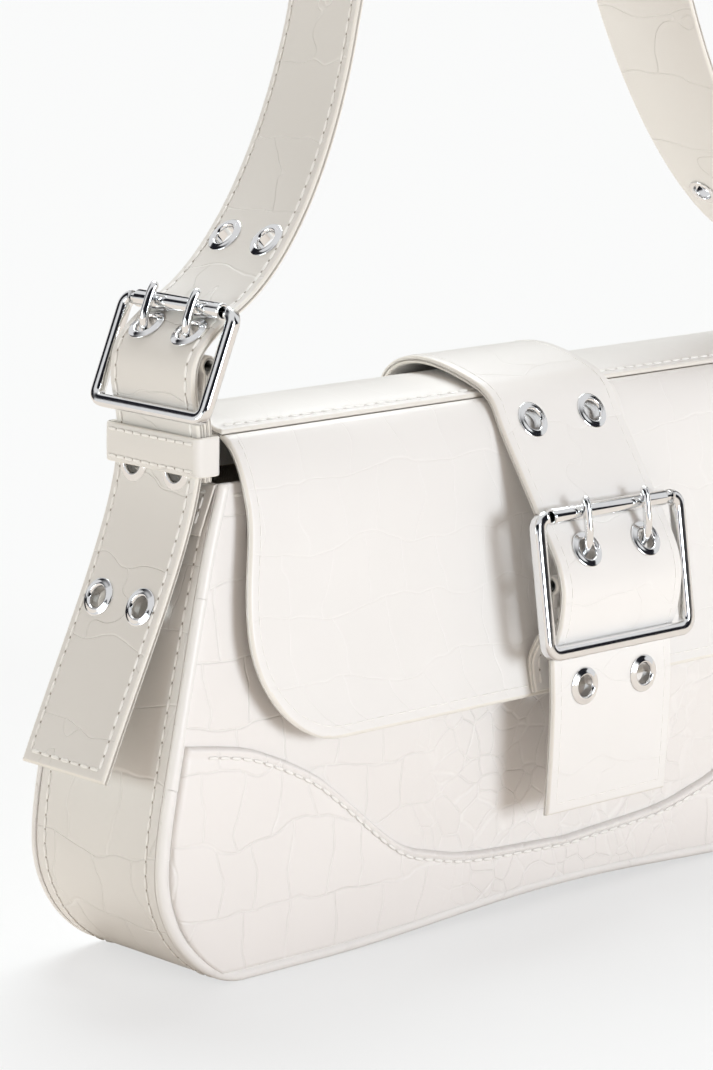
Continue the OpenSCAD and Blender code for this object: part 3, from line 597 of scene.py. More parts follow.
def stitch_row(place, line, out=1, lift=0.08, pitch=STITCH_PITCH, thick=1.0):
    """Stitches on the face place(u, v) along a line of (u, v): each is a bead laid on the face
    along the line's heading, and a disc painted in the hole's shade lies half a pitch further on."""
    line = np.array(line, float)
    line = at_run(line, run_of(line), np.linspace(0, run_of(line)[-1], 400))
    there = place(line[:, 0], line[:, 1])
    run = run_of(there)
    count = max(2, int(run[-1] // pitch))
    s = (np.arange(count) + 0.5) * run[-1] / count
    parts = []
    thin_bead = bead * (1, 1.2 * thick, 0.75 * thick)
    for shift, template, faces, mark in ((0, thin_bead, bead_faces, 0), (0.5, dot, dot_faces, 1)):
        t = np.clip(s + shift * run[-1] / count, 0, run[-1] - 0.01)[: count - mark]
        u, v = np.interp(t, run, line[:, 0]), np.interp(t, run, line[:, 1])
        up = out * normals_of(place, u, v)
        ahead = at_run(there, run, t + 0.3) - at_run(there, run, t - 0.3)
        ahead /= np.linalg.norm(ahead, axis=1)[:, None]
        side = np.cross(up, ahead)
        spot = at_run(there, run, t) + up * lift
        all_points = spot[:, None] + template[None, :, :1] * ahead[:, None] \
            + template[None, :, 1:2] * side[:, None] + template[None, :, 2:] * up[:, None]
        rows = [[i + k * len(template) for i in face] for k in range(len(t)) for face in faces]
        parts.append((all_points.reshape(-1, 3), rows, np.zeros((len(t) * len(template), 2)),
                      np.full(len(rows), mark)))
    return joined(parts)


gusset_rows = [[(6, s * 19.5), (outline_run[-1] - 6, s * 19.5)] for s in (-1, 1)]
top_row = [(6 - half_w, BAG_H - 3.2), (half_w - 6, BAG_H - 3.2)]
piece("body_stitches", joined([stitch_row(gusset_face, row, out=-1) for row in gusset_rows]
                              + [stitch_row(front_face, top_row)]),
      [thread, needle_hole_shade], "bag")

# The wave overlay: a second layer of the same leather on the front panel, its upper edge cut in a
# long wave that dips to the middle, turned over and sewn down with one row of stitches.
WAVE_T, WAVE_MID_Z, WAVE_END_Z, WELT_ROOM, WAVE_ROUND = 1.4, 15.0, 65.0, 3.2, 1.4
wave_shares = np.array([(0, 0), (0.232, 0.054), (0.352, 0.134), (0.443, 0.24), (0.587, 0.572),
                        (0.654, 0.712), (0.752, 0.85), (0.834, 0.928), (1, 1)])
wave_line = through(wave_shares * (half_w, WAVE_END_Z - WAVE_MID_Z) + (0, WAVE_MID_Z))


def wave_at(x):
    return np.interp(np.abs(x), wave_line[:, 0], wave_line[:, 1])


def overlay_face(lift):
    """The front face from the base up to the wave: v is the share of the way up, and x is the
    place across as a share of the outline's width there, found by four rounds of substitution."""
    def place(u, v):
        share = np.clip(v / WAVE_END_Z, 0, 1)
        x = u.astype(float)
        for _ in range(4):
            z = WELT_ROOM + share * (wave_at(x) - WELT_ROOM)
            x = u / half_w * (half_width(z) - WELT_ROOM)
        p = front_face(x / half_width(z) * half_w, z)
        return p + np.stack([0 * x, -lift + 0 * x, 0 * x], -1)
    return place


STITCH_INSET = 3.0
overlay_at = overlay_face(WAVE_T)
overlay_rows = np.r_[WAVE_END_Z * (1 - np.cos(np.linspace(0, 0.7, 16))),
                     spaced(18, WAVE_END_Z - 14, 2.4, 1.6)[3:-4],
                     spaced(WAVE_END_Z - 14, WAVE_END_Z, 0.8, 1.6)[4:]]
overlay_leather = coated_leather("overlay leather", (0.88, 0.858, 0.836, 1), PALE_LINE,
                                 (12.5, 19.0), small=30)


def wave_rib(u, v):
    """The turned edge stands 0.5 mm proud over its last 2.5 mm and dips at the stitches. Within
    r = WAVE_ROUND of the rim the height is scaled by sqrt(r^2 - (r - d)^2) / r, down to 0."""
    d = (WAVE_END_Z - v) * wave_at(u) / WAVE_END_Z
    rib = 0.5 * np.exp(-(d / 2.3)**4) - 0.25 * np.exp(-((d - STITCH_INSET) / 0.9)**2)
    r = WAVE_ROUND
    d = np.clip(np.minimum(np.minimum(d, v), half_w - np.abs(u)), 0, r)
    down = np.sqrt(r**2 - (r - d)**2) / r
    return (rib + WAVE_T - 0.1) * down - (WAVE_T - 0.1)


piece("wave_overlay_skin", plate(overlay_at, panel_columns, overlay_rows, WAVE_T - 0.1, 0.06,
                                 pattern=on_face(overlay_at), relief=wave_rib),
      [overlay_leather, welt_leather], "bag", ["wave_overlay"])
wave_x = np.linspace(-half_w + 7, half_w - 7, 200)
wave_row = np.stack([wave_x, WAVE_END_Z * (1 - STITCH_INSET / wave_at(wave_x))], 1)
piece("wave_stitches", stitch_row(overlay_at, wave_row), [thread, lit_hole_shade], "bag")

# Inside the body a plain woven lining hangs just clear of the panels and the gusset, and a short
# leather seat is sewn across the outside of the gusset's top under each strap tab.
LINING_T = 0.8


def woven(name, tone):
    f = Finish(name)
    where = f.in_mm("UV")
    x, y, _ = f.split(where)
    warp, weft = (x * 9.0).maths("SINE", x * 9.0), (y * 9.0).maths("SINE", y * 9.0)
    weave = warp * weft
    mottle = f.node("ShaderNodeTexNoise", {}, {"Vector": where, "Scale": 0.2, "Detail": 3.0})
    colour = f.colours(weave * 0.2 + mottle * 0.4, tone, [c * 0.78 for c in tone[:3]] + [1])
    bump = f.node("ShaderNodeBump", {}, {"Height": weave, "Distance": 0.0001})
    return f.surface(Base_Color=colour, Roughness=mottle * 0.1 + 0.8, Normal=bump)


lining_cloth = woven("lining cloth", (0.62, 0.56, 0.48, 1))


def lining_face(side):
    def place(u, v):
        w = half_width(np.clip(v, 0, BAG_H)) - 2.4
        z = np.maximum(v, 3.2) + arch_at(u) * np.clip(1 - v / 40, 0, 1)
        return np.stack([u / half_w * w, side * (depth_at(z) - 2.6), z], -1)
    return place


lining_rows = np.r_[low_rows[8:], np.linspace(WIDEST_Z + 3, BAG_H - 3, 24)]
lining_columns = np.linspace(-half_w, half_w, 50)
lining_line = shifted(outline, 2.3)


def lining_band(u, v):
    q = at_run(lining_line, outline_run, u)
    return np.stack([q[..., 0], v / GUSSET_HALF * (depth_at(q[..., 1]) - 2.9), q[..., 1]], -1)


piece("lining_bag", joined([
    plate(lining_face(-1), lining_columns, lining_rows, LINING_T, 0.2),
    plate(lining_face(1), lining_columns, lining_rows, LINING_T, 0.2, out=-1),
    plate(lining_band, np.linspace(3, outline_run[-1] - 3, 160),
          np.linspace(-GUSSET_HALF, GUSSET_HALF, 9), LINING_T, 0.2, out=-1)]),
      [lining_cloth], "bag", ["body_lining"])

STRAP_W, STRAP_T = 31.6, 2.2
SEAT_T, SEAT_H, FIT = 0.7, 12.4, 0.1
strap_leather = coated_leather("strap leather", (0.80, 0.785, 0.755, 1), (0.90, 0.885, 0.855, 1),
                               (70.0, 21.0), line=0.32, wrinkle=0.5, deep=0.00013)
edge_paint = coated_leather("painted edge", (0.86, 0.835, 0.775, 1), (0.88, 0.86, 0.80, 1),
                            (60.0, 80.0), line=0.1, deep=0.00006)


def seat_face(u, v):
    return np.stack([half_width(v) + SEAT_T, u, v], -1)


row_y, row_low, row_top = 13, BAG_H - 10.2, BAG_H - 2.2
seat_row = [(-row_y, row_low), (row_y, row_low), (row_y, row_top), (-row_y, row_top),
            (-row_y, row_low)]
for mirror, name in ((True, "left"), (False, "right")):
    seat = plate(seat_face, spaced(-STRAP_W / 2, STRAP_W / 2, 2, 0.4),
                 spaced(BAG_H - FIT - SEAT_H, BAG_H - FIT, 1.5, 0.4), SEAT_T - 0.05, 0.4)
    piece(f"{name}_seat_skin", seat, [strap_leather, edge_paint], "bag", [f"{name}_tab_seat"],
          mirror=mirror)
    piece(f"{name}_seat_stitches", stitch_row(seat_face, seat_row), [thread, needle_hole_shade], "bag",
          mirror=mirror)

# The magnetic snap holds the flap down: a hollow socket on the front panel, a stud on the flap.
# Its solids are plain turned metal, so they keep their shape and get a plated, worn finish.


def plated(name, tone, rough):
    f = Finish(name)
    where = f.in_mm("Object")
    smear = f.node("ShaderNodeTexNoise", {}, {"Vector": where, "Scale": 0.35, "Detail": 4.0})
    colour = f.colours(smear, tone, [c * 0.93 for c in tone[:3]] + [1])
    bump = f.node("ShaderNodeBump", {}, {"Height": smear, "Distance": 0.00002, "Strength": 0.4})
    return f.surface(Base_Color=colour, Metallic=1.0, Roughness=smear * 0.08 + rough, Normal=bump)


snap_steel = plated("snap steel", (0.70, 0.70, 0.68, 1), 0.25)
chrome = plated("bright plating", (0.86, 0.865, 0.87, 1), 0.05)
for name in ("snap_socket", "snap_magnet", "snap_washer", "snap_stud"):
    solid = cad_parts[name]
    solid.data.materials.clear()
    solid.data.materials.append(snap_steel)

# The flap: a top panel that grows out of the back panel and arches over the opening, and a front
# panel sewn under the top panel's turned edge. Both have rounded, painted edges.
FLAP_W, FLAP_T, CREST_RISE, FLAP_LOW_Z, FLAP_STAND, FLAP_CORNER = 232, 2.2, 15.3, 60.6, 9.8, 27.0
crest_z = BAG_H + CREST_RISE
hinge_y = depth_at(HINGE_Z)
seam = np.array([-12.2, crest_z - 3.4])
back_top = np.array([hinge_y + 4.2, HINGE_Z + 14.3])
flap_low = np.array([-BAG_D / 2 - FLAP_STAND, FLAP_LOW_Z])


def spine_profile(low_n, crest_n):
    """The top panel's line in Y and Z: up from the hinge, then over the crest to the seam."""
    low = bezier((hinge_y, HINGE_Z + 0.15), (hinge_y + 1.8, HINGE_Z + 5), back_top - (0, 5),
                 back_top, low_n)
    crest = bezier(back_top, back_top + (0, 8.4), seam + (14, 5.4), seam, crest_n, first=1)
    return np.vstack([low, crest])


def front_profile(n):
    return bezier(seam, seam + (-12.8, -5.6), flap_low + (9.6, 40.4), flap_low, n)


spine_line, front_line = spine_profile(60, 60), front_profile(120)
flap_half, flap_top_half, wide_z = FLAP_W / 2, FLAP_TOP_W / 2, FLAP_LOW_Z + 29
upright = np.linspace(BAG_H - 4, crest_z + 20, 12)
flap_side = np.vstack([
    bezier((flap_half - FLAP_CORNER, FLAP_LOW_Z), (flap_half - 0.42 * FLAP_CORNER, FLAP_LOW_Z),
           (flap_half, wide_z - 0.55 * FLAP_CORNER), (flap_half, wide_z)),
    bezier((flap_half, wide_z), (flap_half, wide_z + 14), (flap_top_half, BAG_H - 14),
           (flap_top_half, BAG_H - 4), first=1),
    np.stack([flap_top_half + 0 * upright, upright], 1)[1:]])
spine_run, front_run = run_of(spine_line), run_of(front_line)
front_len = front_run[-1]
FLAP_EDGE = 0.48 * FLAP_T


def profile_face(line, run):
    """A face straight in X (u) that follows a profile in Y and Z at the length v."""
    def place(u, v):
        q = at_run(line, run, v)
        return np.stack([u + 0 * v, q[..., 0], q[..., 1]], -1)
    return place


def flap_half_width(v):
    z = at_run(front_line, front_run, np.clip(v, 0, front_len))[..., 1]
    return np.interp(z, flap_side[:, 1], flap_side[:, 0])


def flap_face(u, v):
    """The flap's front: its profile at the length v, u times the half width there, with a faint
    sag towards the middle of each side."""
    q = at_run(front_line, front_run, v)
    x = u / flap_half * flap_half_width(v)
    sag = 0.5 * np.sin(np.pi * np.clip(v / front_len, 0, 1)) * np.cos(np.pi * u / flap_half)
    return np.stack([x, q[..., 0] + sag, q[..., 1]], -1)


rim_v = np.linspace(0, front_len, 160)
rim_line = np.stack([flap_half_width(rim_v), rim_v], 1)
rim_line = np.vstack([rim_line, [(0, front_len)]])


def flap_rim(u, v):
    """Distance from the nearest point of the flap's outline, laid flat."""
    x = np.abs(u) / flap_half * flap_half_width(v)
    a, b = rim_line[:-1], rim_line[1:]
    best = np.full(x.shape, 1e9)
    for p, q in zip(a, b):
        d = q - p
        t = np.clip(((x - p[0]) * d[0] + (v - p[1]) * d[1]) / (d @ d), 0, 1)
        best = np.minimum(best, np.hypot(x - p[0] - t * d[0], v - p[1] - t * d[1]))
    return np.minimum(best, v + 0.01)


def seam_dip(u, v):
    """The front panel dips where it goes in under the top panel's turned edge."""
    return -0.55 * np.exp(-(v / 1.6)**2)


flap_columns = spaced(-flap_half, flap_half, 2.2, 1.1)
corner_rows = front_len - 29 * (1 - np.cos(np.linspace(np.pi / 2, 0, 26)))
low_edge = front_len - np.array([0.8, 0.5, 0.2])
flap_rows = np.unique(np.round(np.r_[spaced(0, front_len - 29, 2.2, 1.1)[:-4], corner_rows,
                                     low_edge], 3))
flap_leather = coated_leather("flap leather", (0.885, 0.875, 0.855, 1), (0.93, 0.92, 0.90, 1),
                              (14.0, 17.0), line=0.35, deep=0.00006, wrinkle=0.25)
piece("flap_front_skin", plate(flap_face, flap_columns, flap_rows, FLAP_T, FLAP_EDGE, out=-1,
                               rim=flap_rim, relief=seam_dip),
      [flap_leather, edge_paint], "flap", ["flap_front"])

spine_face = profile_face(spine_line, spine_run)
spine_len = spine_run[-1]


def turned_edge(u, v):
    """The folded leather is thicker over its last 4 mm, and the stitches pull it down."""
    d = spine_len + 0.3 - v
    return 0.5 * np.exp(-(d / 2.2)**4) - 0.2 * np.exp(-((d - 3.3) / 0.9)**2)


spine_skin = plate(spine_face, spaced(-flap_top_half, flap_top_half, 2.4, 1.05),
                   spaced(0, spine_len + 0.3, 1.6, 1.05), FLAP_T, FLAP_EDGE, out=-1,
                   relief=turned_edge)
hinge_place = (0, (hinge_y + MIDDLE) / 1000, (HINGE_Z - 1) / 1000)
fold_end = (0, (hinge_y + MIDDLE + 2) / 1000, (HINGE_Z + 9) / 1000)
piece("flap_spine_skin", spine_skin, [flap_leather, edge_paint], "flap", ["flap_spine"],
      blend=("bag", "flap", hinge_place, fold_end))


def flap_back(u, v):
    return flap_face(u, v) + normals_of(flap_face, u, v) * (FLAP_T + 0.05)


under_columns = np.linspace(-flap_half + 4, flap_half - 4, 60)
piece("flap_lining_skin",
      plate(flap_back, under_columns, np.linspace(0.5, front_len - 4, 40), 0.65, 0.3,
            out=-1),
      [lining_cloth], "flap", ["flap_lining"])


def row_on_flap(points):
    """Turns places seen from the front, in X and Z, into the flap face's own u and v."""
    v = np.interp(-points[:, 1], -front_line[:, 1], front_run)
    return np.stack([points[:, 0] / flap_half_width(v) * flap_half, v], 1)


side_points = shifted(flap_side, STITCH_INSET)
right_row = side_points[side_points[:, 1] < seam[1] - 1.5]
whole_row = np.vstack([(right_row * (-1, 1))[::-1], right_row])
whole_row = row_on_flap(whole_row)
spine_row_v = spine_len - STITCH_INSET
piece("flap_stitches", joined([
    stitch_row(flap_face, whole_row, out=-1, lift=0.0, thick=0.4),
    stitch_row(spine_face, [(-flap_top_half + 3, spine_row_v), (flap_top_half - 3, spine_row_v)],
               out=-1)]), [thread, lit_hole_shade], "flap")

# The belt: one thick strap sewn down behind the crest. It arches over the flap, weaves down through
# the buckle and hangs in front of the bag, with punched eyelets in pairs.
BELT_W, BELT_END_Z, BELT_LIFT, BELT_PITCH, BELT_EYE_X = 45.4, 29.6, 1.8, 37.6, 11.2
BUCKLE_W, BUCKLE_H, BAR_D, BUCKLE_Z, BUCKLE_Y, BUCKLE_LEAN = 57.0, 39.3, 3.8, 91.5, 41.9, 9.0
PIN_D, PIN_BACK, AXLE_D, ROLLER_D, RUN_GAP, TAB_T, SWING_GAP = 2.6, 1.0, 2.5, 4.4, 0.06, 1.2, 0.3
EYELET_D, EYELET_HOLE_D, EYELET_BACK, PRONG_R = 10.0, 5.4, 0.65, 1.2
loop_r = PIN_D / 2 + RUN_GAP + TAB_T
bulge = loop_r + STRAP_T - PIN_BACK
round_roller = ROLLER_D / 2 + SWING_GAP


def weave(half, bar_r):
    """How a strap's outer face runs through a buckle: height, and distance behind its plane."""
    return np.array([(half, round_roller), (half - 0.77 * round_roller, 0.64 * round_roller),
                     (0.45 * half, -0.53 * bulge), (0.15 * half, -0.95 * bulge),
                     (-0.17 * half, -bulge), (-0.59 * half, -0.45 * bulge),
                     (-0.81 * half, 0.2), (-half, bar_r + SWING_GAP)])


lean = math.radians(BUCKLE_LEAN)
belt_half = (BUCKLE_H - BAR_D) / 2
belt_at = np.array([-BUCKLE_Y, BUCKLE_Z])
belt_axes = np.array([[math.sin(lean), math.cos(lean)], [math.cos(lean), -math.sin(lean)]])


def on_belt(q):
    """Height and distance behind the buckle's plane, as Y and Z."""
    return belt_at + np.asarray(q) @ belt_axes


EYELET_ROOM = EYELET_BACK + 0.4
spine_points, front_points = spine_profile(6, 14), front_profile(18)
rest_from = 4
share = np.linspace(0, 1, len(spine_points) - rest_from)
rest_gap = STRAP_T + FIT + BELT_LIFT * np.sin(np.pi * share)**2 + EYELET_ROOM * share
rest_line = spine_points[rest_from:] - rest_gap[:, None] * left_of(spine_points)[rest_from:]
on_flap = (front_points - (STRAP_T + FIT + EYELET_ROOM) * left_of(front_points))[[2, 5]]
tail_y = -BUCKLE_Y - 0.9
belt_line = np.vstack([through(rest_line, n=6)[:-1], through(np.vstack([
    rest_line[-1:], on_flap, [on_belt((belt_half + 4.6, 4.5))],
    on_belt(weave(belt_half, BAR_D / 2)),
    [(tail_y + 0.1, BUCKLE_Z - 23), (tail_y - 0.3, BUCKLE_Z - 32),
     (tail_y + 0.2, BELT_END_Z + 14), (tail_y + 1.1, BELT_END_Z)]]))])
belt_run = run_of(belt_line)
belt_len = belt_run[-1]
belt_face = profile_face(belt_line, belt_run)
STRAP_EDGE = 0.46 * STRAP_T


def cut_by(made, cutters):
    """Cuts closed shapes, given in mm, out of a piece."""
    points, faces, _, _ = joined(cutters)
    data = bpy.data.meshes.new("cutters")
    data.from_pydata(((points + (0, MIDDLE, 0)) / 1000).tolist(), [], faces)
    tool = bpy.data.objects.new("cutters", data)
    bpy.context.scene.collection.objects.link(tool)
    cut = made.modifiers.new("cuts", "BOOLEAN")
    cut.operation, cut.solver, cut.object = "DIFFERENCE", "EXACT", tool
    graph = bpy.context.evaluated_depsgraph_get()
    whole = bpy.data.meshes.new_from_object(made.evaluated_get(graph))
    made.modifiers.clear()
    old, made.data = made.data, whole
    bpy.data.meshes.remove(old)
    bpy.data.objects.remove(tool)
    bpy.data.meshes.remove(data)


def drill(made, holes, width=EYELET_HOLE_D + 0.9, length=9.0):
    """Cuts a round hole through a piece at each place, along each heading."""
    cutters = []
    ring = np.linspace(0, 2 * np.pi, 20, endpoint=False)
    for place, heading in holes:
        z = np.array(heading, float) / np.linalg.norm(heading)
        x = np.cross(z, (0.3, 0.9, 0.2))
        x /= np.linalg.norm(x)
        y = np.cross(z, x)
        circle = width / 2 * (np.cos(ring)[:, None] * x + np.sin(ring)[:, None] * y)
        cutters.append((np.concatenate([place + circle - z * length / 2,
                                        place + circle + z * length / 2]),
                        [[i, (i + 1) % 20, (i + 1) % 20 + 20, i + 20] for i in range(20)]
                        + [list(range(19, -1, -1)), list(range(20, 40))],
                        np.zeros((40, 2)), np.zeros(22, int)))
    cut_by(made, cutters)


def nearest_run(line, run, q):
    return run[np.argmin(np.linalg.norm(line - q, axis=1))]


belt_used = nearest_run(belt_line, belt_run, on_belt((0.45 * belt_half, -0.53 * bulge)))
belt_eyes = []
for k in (-1, 0, 1):
    for side in (-1, 1):
        u, v = np.array(side * BELT_EYE_X), np.array(belt_used + k * BELT_PITCH)
        n = -normals_of(belt_face, u, v)
        belt_eyes.append((belt_face(u, v) - n * STRAP_T / 2, n))

belt_skin = piece("belt_skin",
                  plate(belt_face, spaced(-BELT_W / 2, BELT_W / 2, 2.0, STRAP_EDGE),
                        spaced(0, belt_len, 1.5, STRAP_EDGE), STRAP_T, STRAP_EDGE, out=-1),
                  [strap_leather, edge_paint], "flap", ["belt"])
belt_leather = coated_leather("belt leather", (0.875, 0.865, 0.845, 1), (0.92, 0.91, 0.89, 1),
                              (60.0, 23.0), line=0.3, wrinkle=0.2, deep=0.00007)
belt_skin.data.materials[0] = belt_leather
drill(belt_skin, belt_eyes)
edge_u = BELT_W / 2 - STITCH_INSET
belt_rows = [[(s * edge_u, 6), (s * edge_u, belt_len - STITCH_INSET)] for s in (-1, 1)]
belt_rows.append([(-edge_u, belt_len - STITCH_INSET), (edge_u, belt_len - STITCH_INSET)])
belt_thread = [stitch_row(belt_face, row, out=-1, lift=0.0, thick=0.35) for row in belt_rows]
piece("belt_stitches", joined(belt_thread), [thread, lit_hole_shade], "flap")


def lathe(profile, sides=40):
    """A closed outline of (radius, height) points turned about the height axis."""
    profile = np.array(profile, float)
    a = np.linspace(0, 2 * np.pi, sides, endpoint=False)[:, None]
    points = np.stack(np.broadcast_arrays(profile[:, 0] * np.cos(a), profile[:, 0] * np.sin(a),
                                          profile[:, 1] + 0 * a), -1).reshape(-1, 3)
    faces = grid_faces(sides, len(profile), loop_u=True, loop_v=True)
    return points, faces, points[:, :2], np.zeros(len(faces), int)


def placed(shape, place, heading, roll=(0, 1, 0)):
    """A lathed shape with its axis turned to heading and its middle at place."""
    z = np.array(heading, float) / np.linalg.norm(heading)
    x = np.cross(roll, z)
    x /= np.linalg.norm(x)
    axes = np.stack([x, np.cross(z, x), z])
    return (shape[0] @ axes + place, *shape[1:])


def rounded(corners, radius, n=5):
    """A closed outline with each corner replaced by n points of a quadratic curve."""
    corners = np.array(corners, float)
    t = np.linspace(0, 1, n)[:, None]
    rows = []
    for k, c in enumerate(corners):
        a, b = corners[k - 1] - c, corners[(k + 1) % len(corners)] - c
        a *= min(radius / np.linalg.norm(a), 0.45)
        b *= min(radius / np.linalg.norm(b), 0.45)
        rows.append(c + (1 - t)**2 * a + t**2 * b)
    return np.vstack(rows)


hole_r, eye_r, face_z = EYELET_HOLE_D / 2, EYELET_D / 2, STRAP_T / 2
eyelet_outline = rounded([(hole_r, -face_z - 0.3), (hole_r + 0.5, -face_z - 0.65),
                          (eye_r - 0.9, -face_z - 0.4), (eye_r - 0.9, -face_z),
                          (hole_r + 0.45, -face_z), (hole_r + 0.45, face_z), (eye_r, face_z),
                          (eye_r, face_z + 0.3), (eye_r - 0.8, face_z + 0.5),
                          (hole_r + 0.5, face_z + 0.85), (hole_r, face_z + 0.2)], 0.3)
eyelet = lathe(eyelet_outline)
piece("belt_eyelets_plated", joined([placed(eyelet, *eye) for eye in belt_eyes]), [chrome],
      "flap", ["belt_eyelets"])

# A buckle: a bent wire frame with a thinner axle on top for the roller, a straight middle bar,
# and two prongs that are curled round the bar and rest over the roller. All is plated.


def frame_path(w, h, bar_d):
    """Round the frame's middle line: three bars and four bends; the axle closes the top."""
    x, z, bend = w / 2 - bar_d / 2, h / 2 - bar_d / 2, bar_d * 0.8
    a = np.linspace(0, np.pi / 2, 9)[:, None]
    rows = []
    for sx, sz, start in ((1, 1, 0), (-1, 1, 1), (-1, -1, 2), (1, -1, 3)):
        turn = a + start * np.pi / 2
        middle = np.array([sx * (x - bend), sz * (z - bend)])
        rows.append(middle + bend * np.hstack([np.cos(turn), np.sin(turn)]))
    left, right = rows[1], rows[0]
    path = np.vstack([left, rows[2], rows[3], right])
    return np.stack([path[:, 0], 0 * path[:, 0], path[:, 1]], 1), x, z, bend


def buckle_pieces(w, h, bar_d, half, eye_x):
    """Frame, bar, roller and the two prongs, standing in X and Z with the front towards -Y."""
    path, x, z, bend = frame_path(w, h, bar_d)
    run = run_of(path)
    even = at_run(path, run, np.linspace(0, run[-1], 140))
    wire = tube(even, bar_d / 2, 24, power=3.4)
    axle = tube([(bend - x - 1, 0, z), (x - bend + 1, 0, z)], AXLE_D / 2, 16, across=(0, 1, 0))
    collars = [tube([(s * (x - bend + 0.4), 0, z), (s * (x - bend - 0.1), 0, z)],
                    [bar_d / 2 * 0.99, AXLE_D / 2], 20) for s in (-1, 1)]
    bar = tube([(bar_d / 2 - w / 2, PIN_BACK, 0), (w / 2 - bar_d / 2, PIN_BACK, 0)], PIN_D / 2, 16)
    long = w / 2 - bar_d * 1.8 - SWING_GAP
    inner = AXLE_D / 2 + RUN_GAP
    turned_tube = rounded([(inner, -long), (ROLLER_D / 2, -long), (ROLLER_D / 2, long),
                           (inner, long)], 0.35)
    roller = placed(lathe(turned_tube, 36), (0, 0, z), (1, 0, 0), roll=(0, 0, 1))
    over = ROLLER_D / 2 + PRONG_R + 0.15
    line = through([(PIN_BACK + 0.3, PIN_D / 2 + 0.4), (PIN_BACK + 0.4, 0.2 * half),
                    (PIN_BACK - 0.5, 0.33 * half), (-1.0, 0.43 * half),
                    (-0.78 * over, 0.54 * half), (-0.97 * over, 0.7 * half), (-over, 0.88 * half),
                    (-over, half + 0.8), (-0.94 * over, half + 2.6), (-0.78 * over, half + 4.2)],
                   n=6)
    prongs = []
    for side in (-1, 1):
        path3 = np.stack([0 * line[:, 0] + side * eye_x, line[:, 0], line[:, 1]], 1)
        reach = run_of(path3)
        left = reach[-1] - reach
        r = PRONG_R * np.sqrt(np.clip(1 - (1 - np.clip(left / PRONG_R, 0, 1))**2, 0.02, 1))
        curl = placed(lathe(rounded([(PIN_D / 2 + RUN_GAP, -1.3), (PIN_D / 2 + 0.85, -1.3),
                                     (PIN_D / 2 + 0.85, 1.3), (PIN_D / 2 + RUN_GAP, 1.3)], 0.3),
                            28), (side * eye_x, PIN_BACK, 0), (1, 0, 0), roll=(0, 0, 1))
        prongs.append(joined([tube(path3, r, 14, across=(1, 0, 0)), curl]))
    return joined([wire, axle, *collars]), bar, roller, prongs


def moved(shape, axes, place):
    """A shape with its own X, Y and Z turned to the rows of axes and moved to place."""
    return (shape[0] @ np.array(axes, float) + place, *shape[1:])


belt_axes3 = [(1, 0, 0), (0, math.cos(lean), -math.sin(lean)), (0, math.sin(lean), math.cos(lean))]
belt_place = (0, -BUCKLE_Y, BUCKLE_Z)
wire, bar, roller, prongs = buckle_pieces(BUCKLE_W, BUCKLE_H, BAR_D, belt_half, BELT_EYE_X)
for name, shape, body in (("belt_buckle_frame", wire, "flap"), ("belt_buckle_bar", bar, "flap"),
                          ("belt_roller", roller, "belt_roller"),
                          ("belt_prong_left", prongs[0], "belt_prong_left"),
                          ("belt_prong_right", prongs[1], "belt_prong_right")):
    piece(f"{name}_plated", moved(shape, belt_axes3, belt_place), [chrome], body, [name])


def folded_tab(leg):
    """A tab's outer face: up one side of its leg, round the middle bar and down the other side.
    The leg is given from the bar down, as height and distance behind the buckle's plane."""
    leg = np.array(leg, float)[:, ::-1]
    fine = through(leg, n=8)
    front, back = shifted(fine, -TAB_T), shifted(fine, TAB_T)
    first, last = front[0] - (PIN_BACK, 0), back[0] - (PIN_BACK, 0)
    a0, a1 = math.atan2(first[1], first[0]), math.atan2(last[1], last[0])
    if first[0] < last[0]:
        a0, a1 = (a0 + 2 * np.pi, a1) if a0 < a1 else (a0, a1)
    else:
        a0, a1 = (a0, a1 + 2 * np.pi) if a1 < a0 else (a0, a1)
    turn = np.linspace(a0, a1, 40)[1:-1]
    arc = np.stack([PIN_BACK + loop_r * np.cos(turn), loop_r * np.sin(turn)], 1)
    path = np.vstack([front[::-1], arc, back])
    keep = np.r_[True, np.linalg.norm(np.diff(path, axis=0), axis=1) > 0.05]
    path = path[keep]
    run = run_of(path)
    path = at_run(path, run, np.linspace(0, run[-1], 140))
    run = run_of(path)
    return profile_face(path, run), run[-1]


def tab_shape(leg, width):
    """A tab of the given width and the two short rows of stitches on it."""
    place, length = folded_tab(leg)
    test = normals_of(place, np.array(0.0), np.array(length / 2))
    ahead = place(np.array(0.0), np.array(length / 2)) - np.array([0, PIN_BACK, 0])
    out = 1 if (test * ahead).sum() > 0 else -1
    shape = plate(place, spaced(-width / 2, width / 2, 2.0, 0.5), spaced(0, length, 0.9, 0.5),
                  TAB_T - 0.06, 0.5, out=out)
    row_u = width / 2 - 2.2
    rows = [stitch_row(place, [(s * row_u, 1.5), (s * row_u, length * 0.36)], out=out)
            for s in (-1, 1)]
    return shape, joined(rows)


def cut_slots(made, eye, axes, place, flip=1):
    """Cuts the two slots in which the prongs' curls turn: boxes round the middle bar."""
    half = np.array([1.8, 2 * loop_r, PIN_D / 2 + loop_r])
    signs = np.array([[a, b, c] for a in (-1, 1) for b in (-1, 1) for c in (-1, 1)])
    box_faces = [[0, 1, 3, 2], [4, 6, 7, 5], [0, 4, 5, 1], [2, 3, 7, 6], [0, 2, 6, 4], [1, 5, 7, 3]]
    boxes = []
    for s in (-1, 1):
        box = np.array([s * eye, PIN_BACK, PIN_D / 2]) + signs * half
        box = (box @ np.array(axes, float) + place) * (flip, 1, 1)
        boxes.append((box, box_faces, np.zeros((8, 2)), np.zeros(6, int)))
    cut_by(made, boxes)


def to_belt(p):
    return (np.array(p, float) - belt_at) @ belt_axes.T


def off_flap(z):
    return np.interp(-z, -front_line[:, 1], front_line[:, 0]) - TAB_T - FIT


